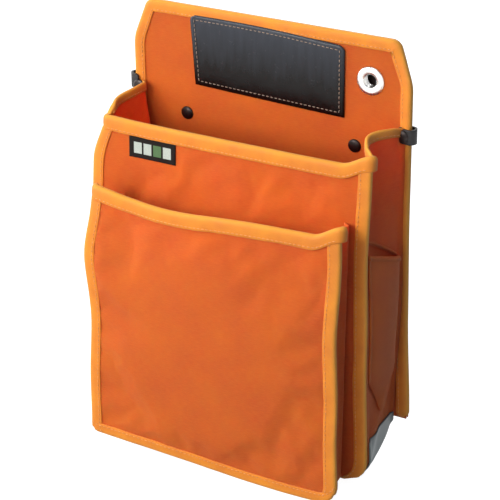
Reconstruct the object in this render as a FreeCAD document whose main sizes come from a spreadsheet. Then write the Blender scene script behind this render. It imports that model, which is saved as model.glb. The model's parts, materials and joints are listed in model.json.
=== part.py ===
"""Electrician's tool pouch: a canvas belt pouch with a tall stiffened back, a deep main pocket,
a shallower pocket in front of it and a small pocket on its right side.

Axes: +X to the wearer's left as seen from the front (the right of the front view), -Y to the
front, +Z up.  The origin is the centre of the belt tunnel behind the back panel, where a belt
carries the pouch.  Three stations hold the pieces:
  back    the back panel and everything sewn to it, which a belt holds still
  main    the main pocket's front, which swings about its bottom edge
  pocket  the front pocket's front panel, which swings about its own bottom edge
A station's own heights run up from the foot of the pouch, and its own Y is 0 in the middle of
its panel.  Lengths are in millimetres and angles in degrees.
"""
import FreeCAD, Part
import os

import Sketcher

Vector = FreeCAD.Vector

doc = FreeCAD.newDocument("tool_pouch")

# ---------------------------------------------------------------- driving dimensions

DIMENSIONS = (
    ("cloth", 1.2, "one layer of canvas"),
    ("tape", 0.9, "one wall of the folded binding tape"),
    ("tape_width", 9.0, "how far the binding reaches over an edge"),
    ("top_tape_width", 7.0, "the same along the back panel's top edge"),
    ("board", 1.6, "stiffener inside the back panel"),
    ("board_inset", 11.0, "from the back panel's edge to the stiffener's"),
    ("leather", 1.4, "front patch and rear strap"),
    ("vinyl", 0.9, "bottom reinforcement"),
    ("gap", 0.3, "room between pieces that slide past each other"),
    ("fit", 0.05, "room round a shank or a barrel in its hole"),
    ("back_width", 215.0, "back panel over its binding"),
    ("top_width", 193.0, "top edge between the slanted shoulders"),
    ("back_top", 296.0, "top edge's height"),
    ("shoulder", 269.0, "height where the shoulders start"),
    ("back_foot", 20.0, "height of the back panel's bottom edge"),
    ("shoulder_in", 0.8, "share of an inset that moves the top edge's ends inwards"),
    ("shoulder_down", 0.2, "share of an inset that moves the shoulders' starts down"),
    ("front_width", 203.0, "main front panel over its binding"),
    ("mouth", 226.0, "height of the main pocket's mouth"),
    ("main_depth", 61.0, "main pocket from back to front at the foot"),
    ("main_lean", 2.8, "how far the main front leans back"),
    ("gusset_top", 239.0, "height where the gussets meet the back panel"),
    ("gusset_side", 97.6, "outer face of the main gussets from the middle"),
    ("rear_half_top", 31.0, "main gussets' rear halves from the back panel, at their top"),
    ("rear_half_foot", 40.0, "the same at their foot"),
    ("front_half", 26.0, "main gussets' front halves from the main front"),
    ("swing_near", 2.0, "their foot above the floor, by the main front"),
    ("swing_far", 12.5, "the same at their free edge, which dips as the mouth opens"),
    ("floor_start", 2.2, "from the main front to the sloping floor's front edge"),
    ("ear_start", 3.4, "from that edge to the top corner of the vinyl's ears"),
    ("ear_front", 8.0, "the ears' front corner above the back panel's foot"),
    ("ear_rear", 3.0, "their rear corner above the back panel's foot"),
    ("pocket_width", 189.0, "front pocket over its binding"),
    ("pocket_mouth", 186.0, "height of the front pocket's mouth"),
    ("pocket_depth", 31.0, "front pocket from back to front at the foot"),
    ("pocket_lean", 4.3, "how far the front pocket's front leans back"),
    ("pocket_side", 91.0, "outer face of the front pocket's gussets"),
    ("pocket_half_foot", 17.0, "its gussets' rear halves from the main front, at their foot"),
    ("pocket_half_top", 13.0, "the same at their top"),
    ("pocket_front_half", 14.5, "its gussets' front halves from its front panel"),
    ("pocket_rise", 1.0, "how much the halves' corners rise, to stay clear as the front swings"),
    ("patch_width", 115.0, "leather patch"),
    ("patch_foot", 239.0, "height of the patch's lower edge"),
    ("patch_corner", 3.0, "radius of the patch's corners"),
    ("eyelet_x", 76.5, "eyelet from the middle"),
    ("eyelet_z", 267.0, "eyelet's height"),
    ("eyelet_hole", 4.5, "radius of the eyelet's hole"),
    ("eyelet_barrel", 5.2, "outer radius of its barrel"),
    ("eyelet_rim", 10.0, "radius of its rim"),
    ("eyelet_dome", 1.6, "how far its rim stands out from the panel"),
    ("eyelet_edge", 0.5, "the rim's thickness at its edge"),
    ("washer", 1.2, "thickness of its washer"),
    ("rolled", 0.4, "how far a barrel or a shank stands out behind its washer or burr"),
    ("rivet_shank", 1.5, "radius of every rivet's shank"),
    ("rivet_cap", 4.7, "radius of every rivet's cap"),
    ("cap_height", 1.9, "height of every rivet's cap"),
    ("cap_shoulder", 1.6, "height where the cap starts to round off"),
    ("cap_edge", 0.6, "height of the cap's upright edge"),
    ("burr", 1.0, "thickness of every rivet's burr"),
    ("band_rivet_x", 65.5, "belt band's rivets from the middle"),
    ("band_rivet_z", 219.0, "height of the belt band's rivets"),
    ("side_rivet_x", 102.4, "side rivets from the middle"),
    ("side_rivet_z", 234.0, "height of the side rivets"),
    ("band", 2.2, "thickness of the belt band"),
    ("band_width", 144.0, "belt band from side to side"),
    ("band_room", 12.2, "depth of the belt tunnel"),
    ("band_foot", 213.0, "height of the band's lower edge"),
    ("band_ramp", 3.0, "height of the slopes between its flat ends and its middle"),
    ("band_flange", 6.0, "height of its flat upper end"),
    ("tunnel_foot", 226.5, "lowest height that the belt can take"),
    ("tunnel_top", 277.5, "highest height that the belt can take"),
    ("strap_height", 14.0, "rear cross strap from edge to edge"),
    ("strap_reach", 112.0, "its ends from the middle"),
    ("tag_left", -81.5, "woven tag's left edge"),
    ("tag_width", 37.0, "woven tag"),
    ("tag_height", 15.0, "woven tag"),
    ("tag", 0.8, "thickness of the woven tag"),
    ("side_pocket_mouth", 159.0, "height of the side pocket's front corner"),
    ("side_pocket_foot", 46.0, "height of its lowest point"),
    ("side_pocket_taper", 40.0, "height over which it widens from its foot"),
    ("side_pocket_depth", 8.5, "how far it stands out from the gusset"),
    ("side_pocket_front", 39.5, "its front edge from the back panel's middle"),
    ("side_pocket_rear", 9.0, "its rear edge"),
    ("side_pocket_low_front", 31.0, "its foot's front corner"),
    ("side_pocket_low_rear", 17.0, "its foot's rear corner"),
    ("side_pocket_drop", 10.0, "how much lower its mouth is at the rear"),
    ("side_pocket_rim", 7.0, "height of the tape on its rim"),
)

sheet = doc.addObject("Spreadsheet::Sheet", "dims")
for row, (alias, number, meaning) in enumerate(DIMENSIONS, start=1):
    sheet.set(f"A{row}", meaning)
    sheet.set(f"B{row}", str(number))
    sheet.setAlias(f"B{row}", alias)
doc.recompute()

# Expressions that several pieces share.
HALF_PANEL = "(dims.board / 2 + dims.cloth)"
HALF_CLOTH = "(dims.cloth / 2)"
HALF_TAPED = "(dims.cloth / 2 + dims.tape)"
ORIGIN_Y = f"({HALF_PANEL} + dims.band_room / 2)"
ORIGIN_Z = "((dims.tunnel_foot + dims.tunnel_top) / 2)"
GUSSET_SLOPE = "((dims.gusset_top - dims.mouth) / (dims.main_depth - tan(dims.main_lean) * dims.mouth))"

# Each station: how far its hinge line is in front of the back panel, and its lean.
STATIONS = {
    "back": ("0", "0"),
    "main": ("dims.main_depth", "dims.main_lean"),
    "upright": ("dims.main_depth", "0"),
    "pocket": ("(dims.main_depth + dims.pocket_depth)", "dims.pocket_lean"),
}

SIDES = (("left", -1), ("right", 1))

PARALLEL = 0.999     # cosine above which an edge counts as running along Y
LEAST_CUT = 1e-6     # volume that a cut has to remove
OVERSHOOT = 1        # how far a cutting sketch reaches past the piece it cuts
CLEAR_ABOVE = 40     # height of the open room that is cut out above the floor
CLEAR_BELOW = 30     # depth of the room that is cut out below a gusset's top edge

pieces = []


def number(expression):
    """The value that an expression has now, as a plain float."""
    return float(sheet.evalExpression(expression))


# ---------------------------------------------------------------- sketches and features

def new_body(name, station):
    """A body at its station, leaning back about the station's hinge line."""
    body = doc.addObject("PartDesign::Body", name)
    body.Label = name
    depth, lean = STATIONS[station]
    body.Placement = FreeCAD.Placement(Vector(0, 0, 0), FreeCAD.Rotation(Vector(1, 0, 0), 1))
    body.setExpression("Placement.Base.y", f"-{ORIGIN_Y} - {depth}")
    body.setExpression("Placement.Base.z", f"-{ORIGIN_Z}")
    body.setExpression("Placement.Rotation.Angle", f"-{lean}")
    pieces.append(body)
    return body


def new_sketch(body, role, offset="0"):
    """A sketch on one of the body's own planes, moved along the plane's normal by offset."""
    sketch = body.newObject("Sketcher::SketchObject", body.Name + "_sketch")
    plane = next(f for f in body.Origin.OriginFeatures if f.Role == role)
    sketch.AttachmentSupport = [(plane, "")]
    sketch.MapMode = "FlatFace"
    sketch.setExpression("AttachmentOffset.Base.z", offset)
    return sketch


def bind_point(sketch, geometry, vertex, x, y):
    """Hold one point of a sketch at two expressions."""
    for kind, expression in (("DistanceX", x), ("DistanceY", y)):
        constraint = Sketcher.Constraint(kind, -1, 1, geometry, vertex, number(expression))
        index = sketch.addConstraint(constraint)
        sketch.setExpression(f"Constraints[{index}]", expression)


def outline(sketch, corners):
    """A closed polygon through corners, each a pair of expressions."""
    points = [Vector(number(x), number(y), 0) for x, y in corners]
    count = len(points)
    first = sketch.GeometryCount
    for i in range(count):
        sketch.addGeometry(Part.LineSegment(points[i], points[(i + 1) % count]))
    for i in range(count):
        following = first + (i + 1) % count
        sketch.addConstraint(Sketcher.Constraint("Coincident", first + i, 2, following, 1))
    for i, (x, y) in enumerate(corners):
        bind_point(sketch, first + i, 1, x, y)


def pad(body, sketch, length, midplane=False):
    feature = body.newObject("PartDesign::Pad", body.Name + "_pad")
    feature.Profile = sketch
    feature.Midplane = midplane
    feature.setExpression("Length", length)
    doc.recompute()


def cut(body, sketch, length=None, midplane=True, reversed_cut=False):
    """Cut a sketch out of a body, through everything where no length is given, and make sure
    that something was removed."""
    before = body.Shape.Volume
    feature = body.newObject("PartDesign::Pocket", body.Name + "_cut")
    feature.Profile = sketch
    if length is None:
        feature.Type = "ThroughAll"
    else:
        feature.setExpression("Length", length)
    feature.Midplane = midplane
    feature.Reversed = reversed_cut
    doc.recompute()
    if not body.Shape.Volume < before - LEAST_CUT:
        raise RuntimeError(f"{feature.Name} removed nothing")


def punch(body, holes):
    """Round holes along Y, each (x, z, radius), through a body."""
    sketch = new_sketch(body, "XZ_Plane")
    for index, (x, z, radius) in enumerate(holes):
        centre = Vector(number(x), number(z), 0)
        sketch.addGeometry(Part.Circle(centre, Vector(0, 0, 1), number(radius)))
        bind_point(sketch, index, 3, x, z)
        constraint = sketch.addConstraint(Sketcher.Constraint("Radius", index, number(radius)))
        sketch.setExpression(f"Constraints[{constraint}]", radius)
    cut(body, sketch)


def round_edges(body, radius):
    """Fillet the edges of a body that run along Y."""
    tip = body.Tip
    chosen = []
    for index, edge in enumerate(tip.Shape.Edges, start=1):
        if abs(edge.tangentAt(edge.FirstParameter).y) > PARALLEL:
            chosen.append(f"Edge{index}")
    feature = body.newObject("PartDesign::Fillet", body.Name + "_fillet")
    feature.Base = (tip, chosen)
    feature.setExpression("Radius", radius)
    doc.recompute()


def mirrored(corners, side):
    """The same corners on the +X side (1) or the -X side (-1)."""
    return [(f"{side} * ({x})", z) for x, z in corners]


def flat_sheet(name, station, corners, face, thickness):
    """A flat piece that faces the front: corners in X and Z, its rear face at Y = face."""
    body = new_body(name, station)
    sketch = new_sketch(body, "XZ_Plane", f"-({face})")
    outline(sketch, corners)
    pad(body, sketch, thickness)
    return body


def folded_tape(name, station, corners, slot, half_slot):
    """A tape folded over an edge: corners in X and Z, open where the slot's panel lies."""
    body = new_body(name, station)
    sketch = new_sketch(body, "XZ_Plane")
    outline(sketch, corners)
    pad(body, sketch, f"2 * ({half_slot} + dims.tape)", midplane=True)
    inner = new_sketch(body, "XZ_Plane")
    outline(inner, slot)
    cut(body, inner, f"2 * {half_slot}")
    return body


def side_wall(name, station, side, corners, inner, thickness):
    """A flat wall that faces sideways: corners in Y and Z, its inner face at X = inner."""
    body = new_body(name, station)
    offset = inner if side > 0 else f"-({inner} + {thickness})"
    sketch = new_sketch(body, "YZ_Plane", offset)
    outline(sketch, corners)
    pad(body, sketch, thickness)
    return body


def box_corners(left, right, foot, top):
    return [(left, foot), (right, foot), (right, top), (left, top)]


def turned(name, x, z, profile):
    """A round piece about an axis along Y through x and z; profile holds (radius, y)."""
    body = new_body(name, "back")
    body.setExpression("Placement.Base.x", x)
    body.setExpression("Placement.Base.z", f"({z}) - {ORIGIN_Z}")
    sketch = new_sketch(body, "XY_Plane")
    outline(sketch, profile)
    feature = body.newObject("PartDesign::Revolution", name + "_turn")
    feature.Profile = sketch
    feature.ReferenceAxis = (sketch, ["V_Axis"])
    feature.Angle = 360
    doc.recompute()
    return body


# ---------------------------------------------------------------- back panel

def back_corners(inset, foot="dims.back_foot", top_inset=None):
    """The back panel's outline, moved inwards by inset: upright sides, slanted shoulders."""
    top_inset = inset if top_inset is None else top_inset
    side = f"dims.back_width / 2 - ({inset})"
    top = f"dims.top_width / 2 - dims.shoulder_in * ({inset})"
    shoulder = f"dims.shoulder - dims.shoulder_down * ({inset})"
    height = f"dims.back_top - ({top_inset})"
    right = [(side, foot), (side, shoulder), (top, height)]
    left = [(f"-({x})", z) for x, z in reversed(right)]
    return right + left


def rivet_holes(kind):
    """The left and the right hole for one kind of rivet, band or side."""
    return [
        (f"{side} * dims.{kind}_rivet_x", f"dims.{kind}_rivet_z", "dims.rivet_shank + dims.fit")
        for _, side in SIDES
    ]


def back_holes():
    """Where the eyelet and the band's rivets pass through the back panel."""
    eyelet = ("dims.eyelet_x", "dims.eyelet_z", "dims.eyelet_barrel + dims.fit")
    return [eyelet] + rivet_holes("band")


def make_back_panel():
    """Two layers of canvas with a stiffener between them, bound along three edges."""
    cloth = back_corners("dims.tape")
    front = flat_sheet("back_panel_front", "back", cloth, "-dims.board / 2", "dims.cloth")
    punch(front, back_holes() + rivet_holes("side"))
    rear = flat_sheet("back_panel_rear", "back", cloth, HALF_PANEL, "dims.cloth")
    punch(rear, back_holes() + rivet_holes("side"))
    inner = back_corners("dims.board_inset", foot="dims.back_foot + dims.board_inset / 2")
    board = flat_sheet("back_stiffener", "back", inner, "dims.board / 2", "dims.board")
    punch(board, back_holes())


def make_back_binding():
    """Yellow tape folded over the back panel's two sides, shoulders and top edge."""
    outer = back_corners("0")
    inner = back_corners("dims.tape_width", top_inset="dims.top_tape_width")
    corners = outer + list(reversed(inner))
    binding = folded_tape("back_binding", "back", corners, back_corners("dims.tape"), HALF_PANEL)
    punch(binding, rivet_holes("side"))


def make_front_patch():
    """Black leather patch that backs the belt band's stitching, on the panel's front."""
    half = "dims.patch_width / 2"
    top = "dims.back_top - dims.top_tape_width"
    corners = box_corners(f"-{half}", half, "dims.patch_foot", top)
    patch = flat_sheet("front_patch", "back", corners, f"-{HALF_PANEL}", "dims.leather")
    round_edges(patch, "dims.patch_corner")


def make_belt_band():
    """Wide black band behind the back: flat at its ends, standing off between them."""
    rear = HALF_PANEL
    thick = "dims.band"
    out = f"({HALF_PANEL} + dims.band_room)"
    ramp = "dims.band_ramp"
    flange_top = f"dims.tunnel_top + {ramp} + dims.band_flange"
    profile = [
        (rear, "dims.band_foot"),
        (rear, f"dims.tunnel_foot - {ramp}"),
        (out, "dims.tunnel_foot"),
        (out, "dims.tunnel_top"),
        (rear, f"dims.tunnel_top + {ramp}"),
        (rear, flange_top),
        (f"{rear} + {thick}", flange_top),
        (f"{rear} + {thick}", f"dims.tunnel_top + {ramp} + {thick} / 2"),
        (f"{out} + {thick}", f"dims.tunnel_top + {thick} / 2"),
        (f"{out} + {thick}", f"dims.tunnel_foot - {thick} / 2"),
        (f"{rear} + {thick}", f"dims.tunnel_foot - {ramp} - {thick} / 2"),
        (f"{rear} + {thick}", "dims.band_foot"),
    ]
    body = new_body("belt_band", "back")
    sketch = new_sketch(body, "YZ_Plane")
    outline(sketch, profile)
    pad(body, sketch, "dims.band_width", midplane=True)
    punch(body, rivet_holes("band"))


def make_rear_strap():
    """Black strap across the rear, whose ends show past both edges of the back panel."""
    thickness = "(dims.leather + dims.tape)"
    foot = "dims.side_rivet_z - dims.strap_height / 2"
    top = "dims.side_rivet_z + dims.strap_height / 2"
    corners = box_corners("-dims.strap_reach", "dims.strap_reach", foot, top)
    face = f"{HALF_PANEL} + {thickness}"
    strap = flat_sheet("rear_strap", "back", corners, face, thickness)
    # The ends lie over the binding tape, so they are thinner by one wall of it.
    start = "dims.back_width / 2 - dims.tape_width"
    step = new_sketch(strap, "XZ_Plane", f"-({HALF_PANEL} + dims.tape)")
    end = box_corners(start, f"dims.strap_reach + {OVERSHOOT}",
                      f"{foot} - {OVERSHOOT}", f"{top} + {OVERSHOOT}")
    for _, side in SIDES:
        outline(step, mirrored(end, side))
    cut(strap, step, midplane=False, reversed_cut=True)
    punch(strap, rivet_holes("side"))


def make_eyelet():
    """Metal eyelet: a domed rim and a straight barrel, with a washer behind the panel."""
    front = f"-{HALF_PANEL}"
    rear = HALF_PANEL
    rolled = f"{rear} + dims.washer + dims.rolled"
    profile = [
        ("dims.eyelet_hole", f"{front} - dims.eyelet_dome"),
        ("dims.eyelet_barrel + 2 * dims.eyelet_edge", f"{front} - dims.eyelet_dome"),
        ("dims.eyelet_rim", f"{front} - dims.eyelet_edge"),
        ("dims.eyelet_rim", front),
        ("dims.eyelet_barrel", front),
        ("dims.eyelet_barrel", rolled),
        ("dims.eyelet_hole", rolled),
    ]
    turned("eyelet", "dims.eyelet_x", "dims.eyelet_z", profile)
    ring = [
        ("dims.eyelet_barrel + dims.fit", rear),
        ("dims.eyelet_rim - dims.eyelet_edge", rear),
        ("dims.eyelet_rim - 2 * dims.eyelet_edge", f"{rear} + dims.washer"),
        ("dims.eyelet_barrel + dims.fit", f"{rear} + dims.washer"),
    ]
    turned("eyelet_washer", "dims.eyelet_x", "dims.eyelet_z", ring)


CAP_FLAT = 0.6       # share of a cap's radius that is nearly flat
BURR_SHARE = 0.7     # a burr's radius as a share of the cap's


def make_rivet(name, x, z, front, rear):
    """A capped rivet from the front face to the rear face, and the burr that holds it."""
    peened = f"{rear} + dims.burr + dims.rolled"
    cap = [
        ("0", f"-({front}) - dims.cap_height"),
        (f"{CAP_FLAT} * dims.rivet_cap", f"-({front}) - dims.cap_shoulder"),
        ("dims.rivet_cap", f"-({front}) - dims.cap_edge"),
        ("dims.rivet_cap", f"-({front})"),
        ("dims.rivet_shank", f"-({front})"),
        ("dims.rivet_shank", peened),
        ("0", peened),
    ]
    turned(name, x, z, cap)
    ring = [
        ("dims.rivet_shank + dims.fit", rear),
        (f"{BURR_SHARE} * dims.rivet_cap", rear),
        (f"{BURR_SHARE} * dims.rivet_cap", f"{rear} + dims.burr"),
        ("dims.rivet_shank + dims.fit", f"{rear} + dims.burr"),
    ]
    turned(name + "_burr", x, z, ring)


def make_rivets():
    """Two rivets hold the belt band's lower end, two hold the rear strap's ends."""
    strap_face = f"{HALF_PANEL} + dims.leather + dims.tape"
    for word, side in SIDES:
        make_rivet(f"band_rivet_{word}", f"{side} * dims.band_rivet_x", "dims.band_rivet_z",
                   HALF_PANEL, f"{HALF_PANEL} + dims.band")
        make_rivet(f"side_rivet_{word}", f"{side} * dims.side_rivet_x", "dims.side_rivet_z",
                   f"{HALF_PANEL} + dims.tape", strap_face)


# ---------------------------------------------------------------- main pocket

# The main pocket's floor rises from its front edge to the back panel's foot.
FLOOR_REACH = "(dims.main_depth - dims.floor_start)"
FLOOR_FRONT = f"-{FLOOR_REACH}"
FLOOR_REAR = f"-{HALF_PANEL}"
SPAN = f"({FLOOR_REACH} - {HALF_PANEL})"


def floor_strip(lower, upper):
    """A strip of the sloping floor between two heights above its underside, in Y and Z."""
    return [
        (FLOOR_FRONT, lower),
        (FLOOR_REAR, f"dims.back_foot + {lower}"),
        (FLOOR_REAR, f"dims.back_foot + {upper}"),
        (FLOOR_FRONT, upper),
    ]


def make_main_floor():
    """The sloping floor: canvas inside, dark vinyl outside with an ear up each side."""
    lining = new_body("main_floor_lining", "back")
    sketch = new_sketch(lining, "YZ_Plane")
    outline(sketch, floor_strip("dims.vinyl", "dims.vinyl + dims.cloth"))
    pad(lining, sketch, "2 * (dims.gusset_side - dims.cloth)", midplane=True)

    shell = new_body("bottom_reinforcement", "back")
    sketch = new_sketch(shell, "YZ_Plane")
    outline(sketch, [
        (FLOOR_FRONT, "0"),
        (FLOOR_REAR, "dims.back_foot"),
        (FLOOR_REAR, "dims.back_foot + dims.ear_rear"),
        (f"{FLOOR_FRONT} + dims.ear_start", "dims.back_foot + dims.ear_front"),
    ])
    pad(shell, sketch, "2 * (dims.gusset_side + dims.vinyl)", midplane=True)
    inside = new_sketch(shell, "YZ_Plane")
    start, end = f"{FLOOR_FRONT} - {OVERSHOOT}", f"{FLOOR_REAR} + {OVERSHOOT}"
    rise = f"{OVERSHOOT} * dims.back_foot / {SPAN}"
    outline(inside, [
        (start, f"dims.vinyl - {rise}"),
        (end, f"dims.back_foot + dims.vinyl + {rise}"),
        (end, f"dims.back_foot + {CLEAR_ABOVE}"),
        (start, f"dims.back_foot + {CLEAR_ABOVE}"),
    ])
    cut(shell, inside, "2 * dims.gusset_side")


def top_tape(name, station, side, front, rear, inner, leg_outside):
    """Tape over a gusset's sloping top edge: front and rear hold (y, z) of that edge.  One leg
    lies on the outer or the inner face, the side that no other piece slides past."""
    body = new_body(name, station)
    start = inner if leg_outside else f"{inner} - dims.tape"
    width = "(dims.cloth + dims.tape)"
    offset = start if side > 0 else f"-({start} + {width})"
    sketch = new_sketch(body, "YZ_Plane", offset)
    (front_y, front_z), (rear_y, rear_z) = front, rear
    drop = "(dims.tape_width - dims.tape)"
    outline(sketch, [
        (front_y, f"{front_z} - {drop}"),
        (rear_y, f"{rear_z} - {drop}"),
        (rear_y, f"{rear_z} + dims.tape"),
        (front_y, f"{front_z} + dims.tape"),
    ])
    pad(body, sketch, width)
    # The cut runs from the wall's free face to its taped face.
    starts_at_offset = leg_outside == (side > 0)
    cloth_offset = offset if starts_at_offset else f"{offset} + dims.tape"
    slot = new_sketch(body, "YZ_Plane", cloth_offset)
    start, end = f"{front_y} - {OVERSHOOT}", f"{rear_y} + {OVERSHOOT}"
    rise = f"{OVERSHOOT} * {GUSSET_SLOPE}"
    outline(slot, [
        (start, f"{front_z} - {CLEAR_BELOW}"),
        (end, f"{front_z} - {CLEAR_BELOW}"),
        (end, f"{rear_z} + {rise}"),
        (start, f"{front_z} - {rise}"),
    ])
    cut(body, slot, "dims.cloth", midplane=False, reversed_cut=True)


SHORT_OF_CAP = 0.5   # room between a gusset's tape and the side rivet's cap


def make_main_gussets():
    """Each gusset in two halves, the front one sliding inside the rear one as the mouth works."""
    mouth_y = "(tan(dims.main_lean) * dims.mouth - dims.main_depth)"
    rear_inner = "(dims.gusset_side - dims.cloth)"
    front_inner = f"({rear_inner} - dims.gap - dims.cloth)"

    # Rear half, in the back panel's station.
    top_y, foot_y, back_y = "-dims.rear_half_top", "-dims.rear_half_foot", f"-{HALF_PANEL}"
    top_z = f"(dims.mouth + {GUSSET_SLOPE} * ({top_y} - {mouth_y}))"
    back_z = f"(dims.mouth + {GUSSET_SLOPE} * ({back_y} - {mouth_y}))"
    # Its tape stops short of the side rivet's cap.
    tape_y = f"({back_y} - dims.tape - dims.cap_height - {SHORT_OF_CAP})"
    tape_z = f"(dims.mouth + {GUSSET_SLOPE} * ({tape_y} - {mouth_y}))"
    floor = "(dims.vinyl + dims.cloth)"
    foot_z = f"(dims.back_foot * ({FLOOR_REACH} + {foot_y}) / {SPAN} + {floor})"
    rear_half = [
        (foot_y, foot_z),
        (back_y, f"dims.back_foot + {floor}"),
        (back_y, back_z),
        (top_y, top_z),
    ]

    # Front half, in the main front's station, clear of the floor as the front swings.
    near_y, far_y = HALF_TAPED, "dims.front_half"
    near_z = f"(dims.mouth - dims.tape + {GUSSET_SLOPE} * {near_y})"
    far_z = f"(dims.mouth - dims.tape + {GUSSET_SLOPE} * {far_y})"
    front_half = [
        (near_y, f"{floor} + dims.swing_near"),
        (far_y, f"{floor} + dims.swing_far"),
        (far_y, far_z),
        (near_y, near_z),
    ]

    for word, side in SIDES:
        side_wall(f"main_gusset_{word}_rear", "back", side, rear_half, rear_inner, "dims.cloth")
        side_wall(f"main_gusset_{word}_front", "main", side, front_half, front_inner, "dims.cloth")
        top_tape(f"gusset_binding_{word}_rear", "back", side,
                 (top_y, top_z), (tape_y, tape_z), rear_inner, leg_outside=True)
        top_tape(f"gusset_binding_{word}_front", "main", side,
                 (near_y, near_z), (far_y, far_z), front_inner, leg_outside=False)


def make_bound_front(prefix, station, width, mouth, with_bottom_tape):
    """A front panel with tape over its mouth and its two upright edges."""
    half = f"({width} / 2)"
    foot = "dims.tape" if with_bottom_tape else "0"
    cloth = box_corners(f"dims.tape - {half}", f"{half} - dims.tape", foot, f"{mouth} - dims.tape")
    flat_sheet(f"{prefix}_front_panel", station, cloth, HALF_CLOTH, "dims.cloth")

    low = f"{mouth} - dims.tape_width"
    across = box_corners(f"-{half}", half, low, mouth)
    folded_tape(f"{prefix}_mouth_binding", station, across, cloth, HALF_CLOTH)
    foot = "dims.tape_width" if with_bottom_tape else "0"
    upright = box_corners(f"{half} - dims.tape_width", half, foot, low)
    for word, side in SIDES:
        name = f"{prefix}_edge_binding_{word}"
        folded_tape(name, station, mirrored(upright, side), cloth, HALF_CLOTH)
    if with_bottom_tape:
        along = box_corners(f"-{half}", half, "0", "dims.tape_width")
        folded_tape(f"{prefix}_bottom_binding", station, along, cloth, HALF_CLOTH)


def make_tag():
    """A plain woven tag under the mouth binding's left end."""
    top = "dims.mouth - dims.tape_width"
    corners = box_corners("dims.tag_left", "dims.tag_left + dims.tag_width",
                          f"{top} - dims.tag_height", top)
    flat_sheet("woven_tag", "main", corners, f"-{HALF_CLOTH}", "dims.tag")


# ---------------------------------------------------------------- front pocket

FLOOR_INSET = 1      # from the front pocket's edges to its floor's ends
FLOOR_SWING = 0.5    # room between its floor and its front panel, which swings


def make_pocket_floor():
    """The front pocket's flat floor, between the main front and the pocket's own panel."""
    half = f"(dims.pocket_width / 2 - {FLOOR_INSET})"
    front = f"{HALF_TAPED} + {FLOOR_SWING} - dims.pocket_depth"
    body = new_body("pocket_floor", "upright")
    sketch = new_sketch(body, "XY_Plane", "dims.gap")
    outline(sketch, box_corners(f"-{half}", half, front, f"-{HALF_TAPED}"))
    pad(body, sketch, "dims.cloth")


def make_pocket_gussets():
    """The front pocket's gussets, again a front half that slides inside a rear half."""
    rear_inner = "(dims.pocket_side - dims.cloth)"
    front_inner = f"({rear_inner} - dims.gap - dims.cloth)"
    lowest = "dims.gap + 2 * dims.cloth"
    top = "(dims.pocket_mouth - dims.tape)"
    rise = "dims.pocket_rise"
    rear_half = [
        ("-dims.pocket_half_foot", lowest),
        (f"-{HALF_CLOTH}", lowest),
        (f"-{HALF_CLOTH}", f"{top} + 2 * {rise}"),
        ("-dims.pocket_half_top", top),
    ]
    front_half = [
        (HALF_TAPED, f"{lowest} + {rise}"),
        ("dims.pocket_front_half", f"{lowest} + {rise}"),
        ("dims.pocket_front_half", f"{top} + {rise}"),
        (HALF_TAPED, top),
    ]
    for word, side in SIDES:
        side_wall(f"pocket_gusset_{word}_rear", "main", side, rear_half, rear_inner, "dims.cloth")
        side_wall(f"pocket_gusset_{word}_front", "pocket", side, front_half, front_inner, "dims.cloth")


# ---------------------------------------------------------------- side pocket

def make_side_pocket():
    """A narrow pocket on the right gusset: its mouth slopes back, its foot tapers."""
    front, rear = "-dims.side_pocket_front", "-dims.side_pocket_rear"
    low_front, low_rear = "-dims.side_pocket_low_front", "-dims.side_pocket_low_rear"
    foot, mouth = "dims.side_pocket_foot", "dims.side_pocket_mouth"
    widest = f"{foot} + dims.side_pocket_taper"
    rear_mouth = f"{mouth} - dims.side_pocket_drop"
    shape = [
        (front, mouth),
        (front, widest),
        (low_front, foot),
        (low_rear, foot),
        (rear, widest),
        (rear, rear_mouth),
    ]
    body = side_wall("side_pocket_panel", "back", 1, shape, "dims.gusset_side",
                     "dims.side_pocket_depth")
    inside = new_sketch(body, "YZ_Plane", "dims.gusset_side")
    wall = "dims.cloth"
    outline(inside, [
        (f"{front} + {wall}", f"{mouth} + {OVERSHOOT}"),
        (f"{front} + {wall}", widest),
        (f"{low_front} + {wall}", f"{foot} + {wall}"),
        (f"{low_rear} - {wall}", f"{foot} + {wall}"),
        (f"{rear} - {wall}", widest),
        (f"{rear} - {wall}", f"{mouth} + {OVERSHOOT}"),
    ])
    cut(body, inside, f"dims.side_pocket_depth - {wall}", midplane=False, reversed_cut=True)

    # The rim's tape lies on the outside of the panel, just below its mouth.
    rim = [
        (front, f"{mouth} - dims.side_pocket_rim"),
        (rear, f"{rear_mouth} - dims.side_pocket_rim"),
        (rear, rear_mouth),
        (front, mouth),
    ]
    side_wall("side_pocket_binding", "back", 1, rim,
              "(dims.gusset_side + dims.side_pocket_depth)", "dims.tape")


# ---------------------------------------------------------------- build, check, write

def build():
    make_back_panel()
    make_back_binding()
    make_front_patch()
    make_belt_band()
    make_rear_strap()
    make_eyelet()
    make_rivets()
    make_main_floor()
    make_main_gussets()
    make_bound_front("main", "main", "dims.front_width", "dims.mouth", False)
    make_tag()
    make_pocket_floor()
    make_pocket_gussets()
    make_bound_front("pocket", "pocket", "dims.pocket_width", "dims.pocket_mouth", True)
    make_side_pocket()
    doc.recompute()


def check():
    """Stop if any object failed or any piece is missing or not one sound solid."""
    for thing in doc.Objects:
        if "Invalid" in thing.State or "Error" in thing.State:
            raise RuntimeError(f"{thing.Name} failed: {thing.State}")
    for piece in pieces:
        shape = piece.Shape
        if shape.isNull() or not shape.isValid() or len(shape.Solids) != 1:
            raise RuntimeError(f"{piece.Label} isn't one sound solid")


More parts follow.
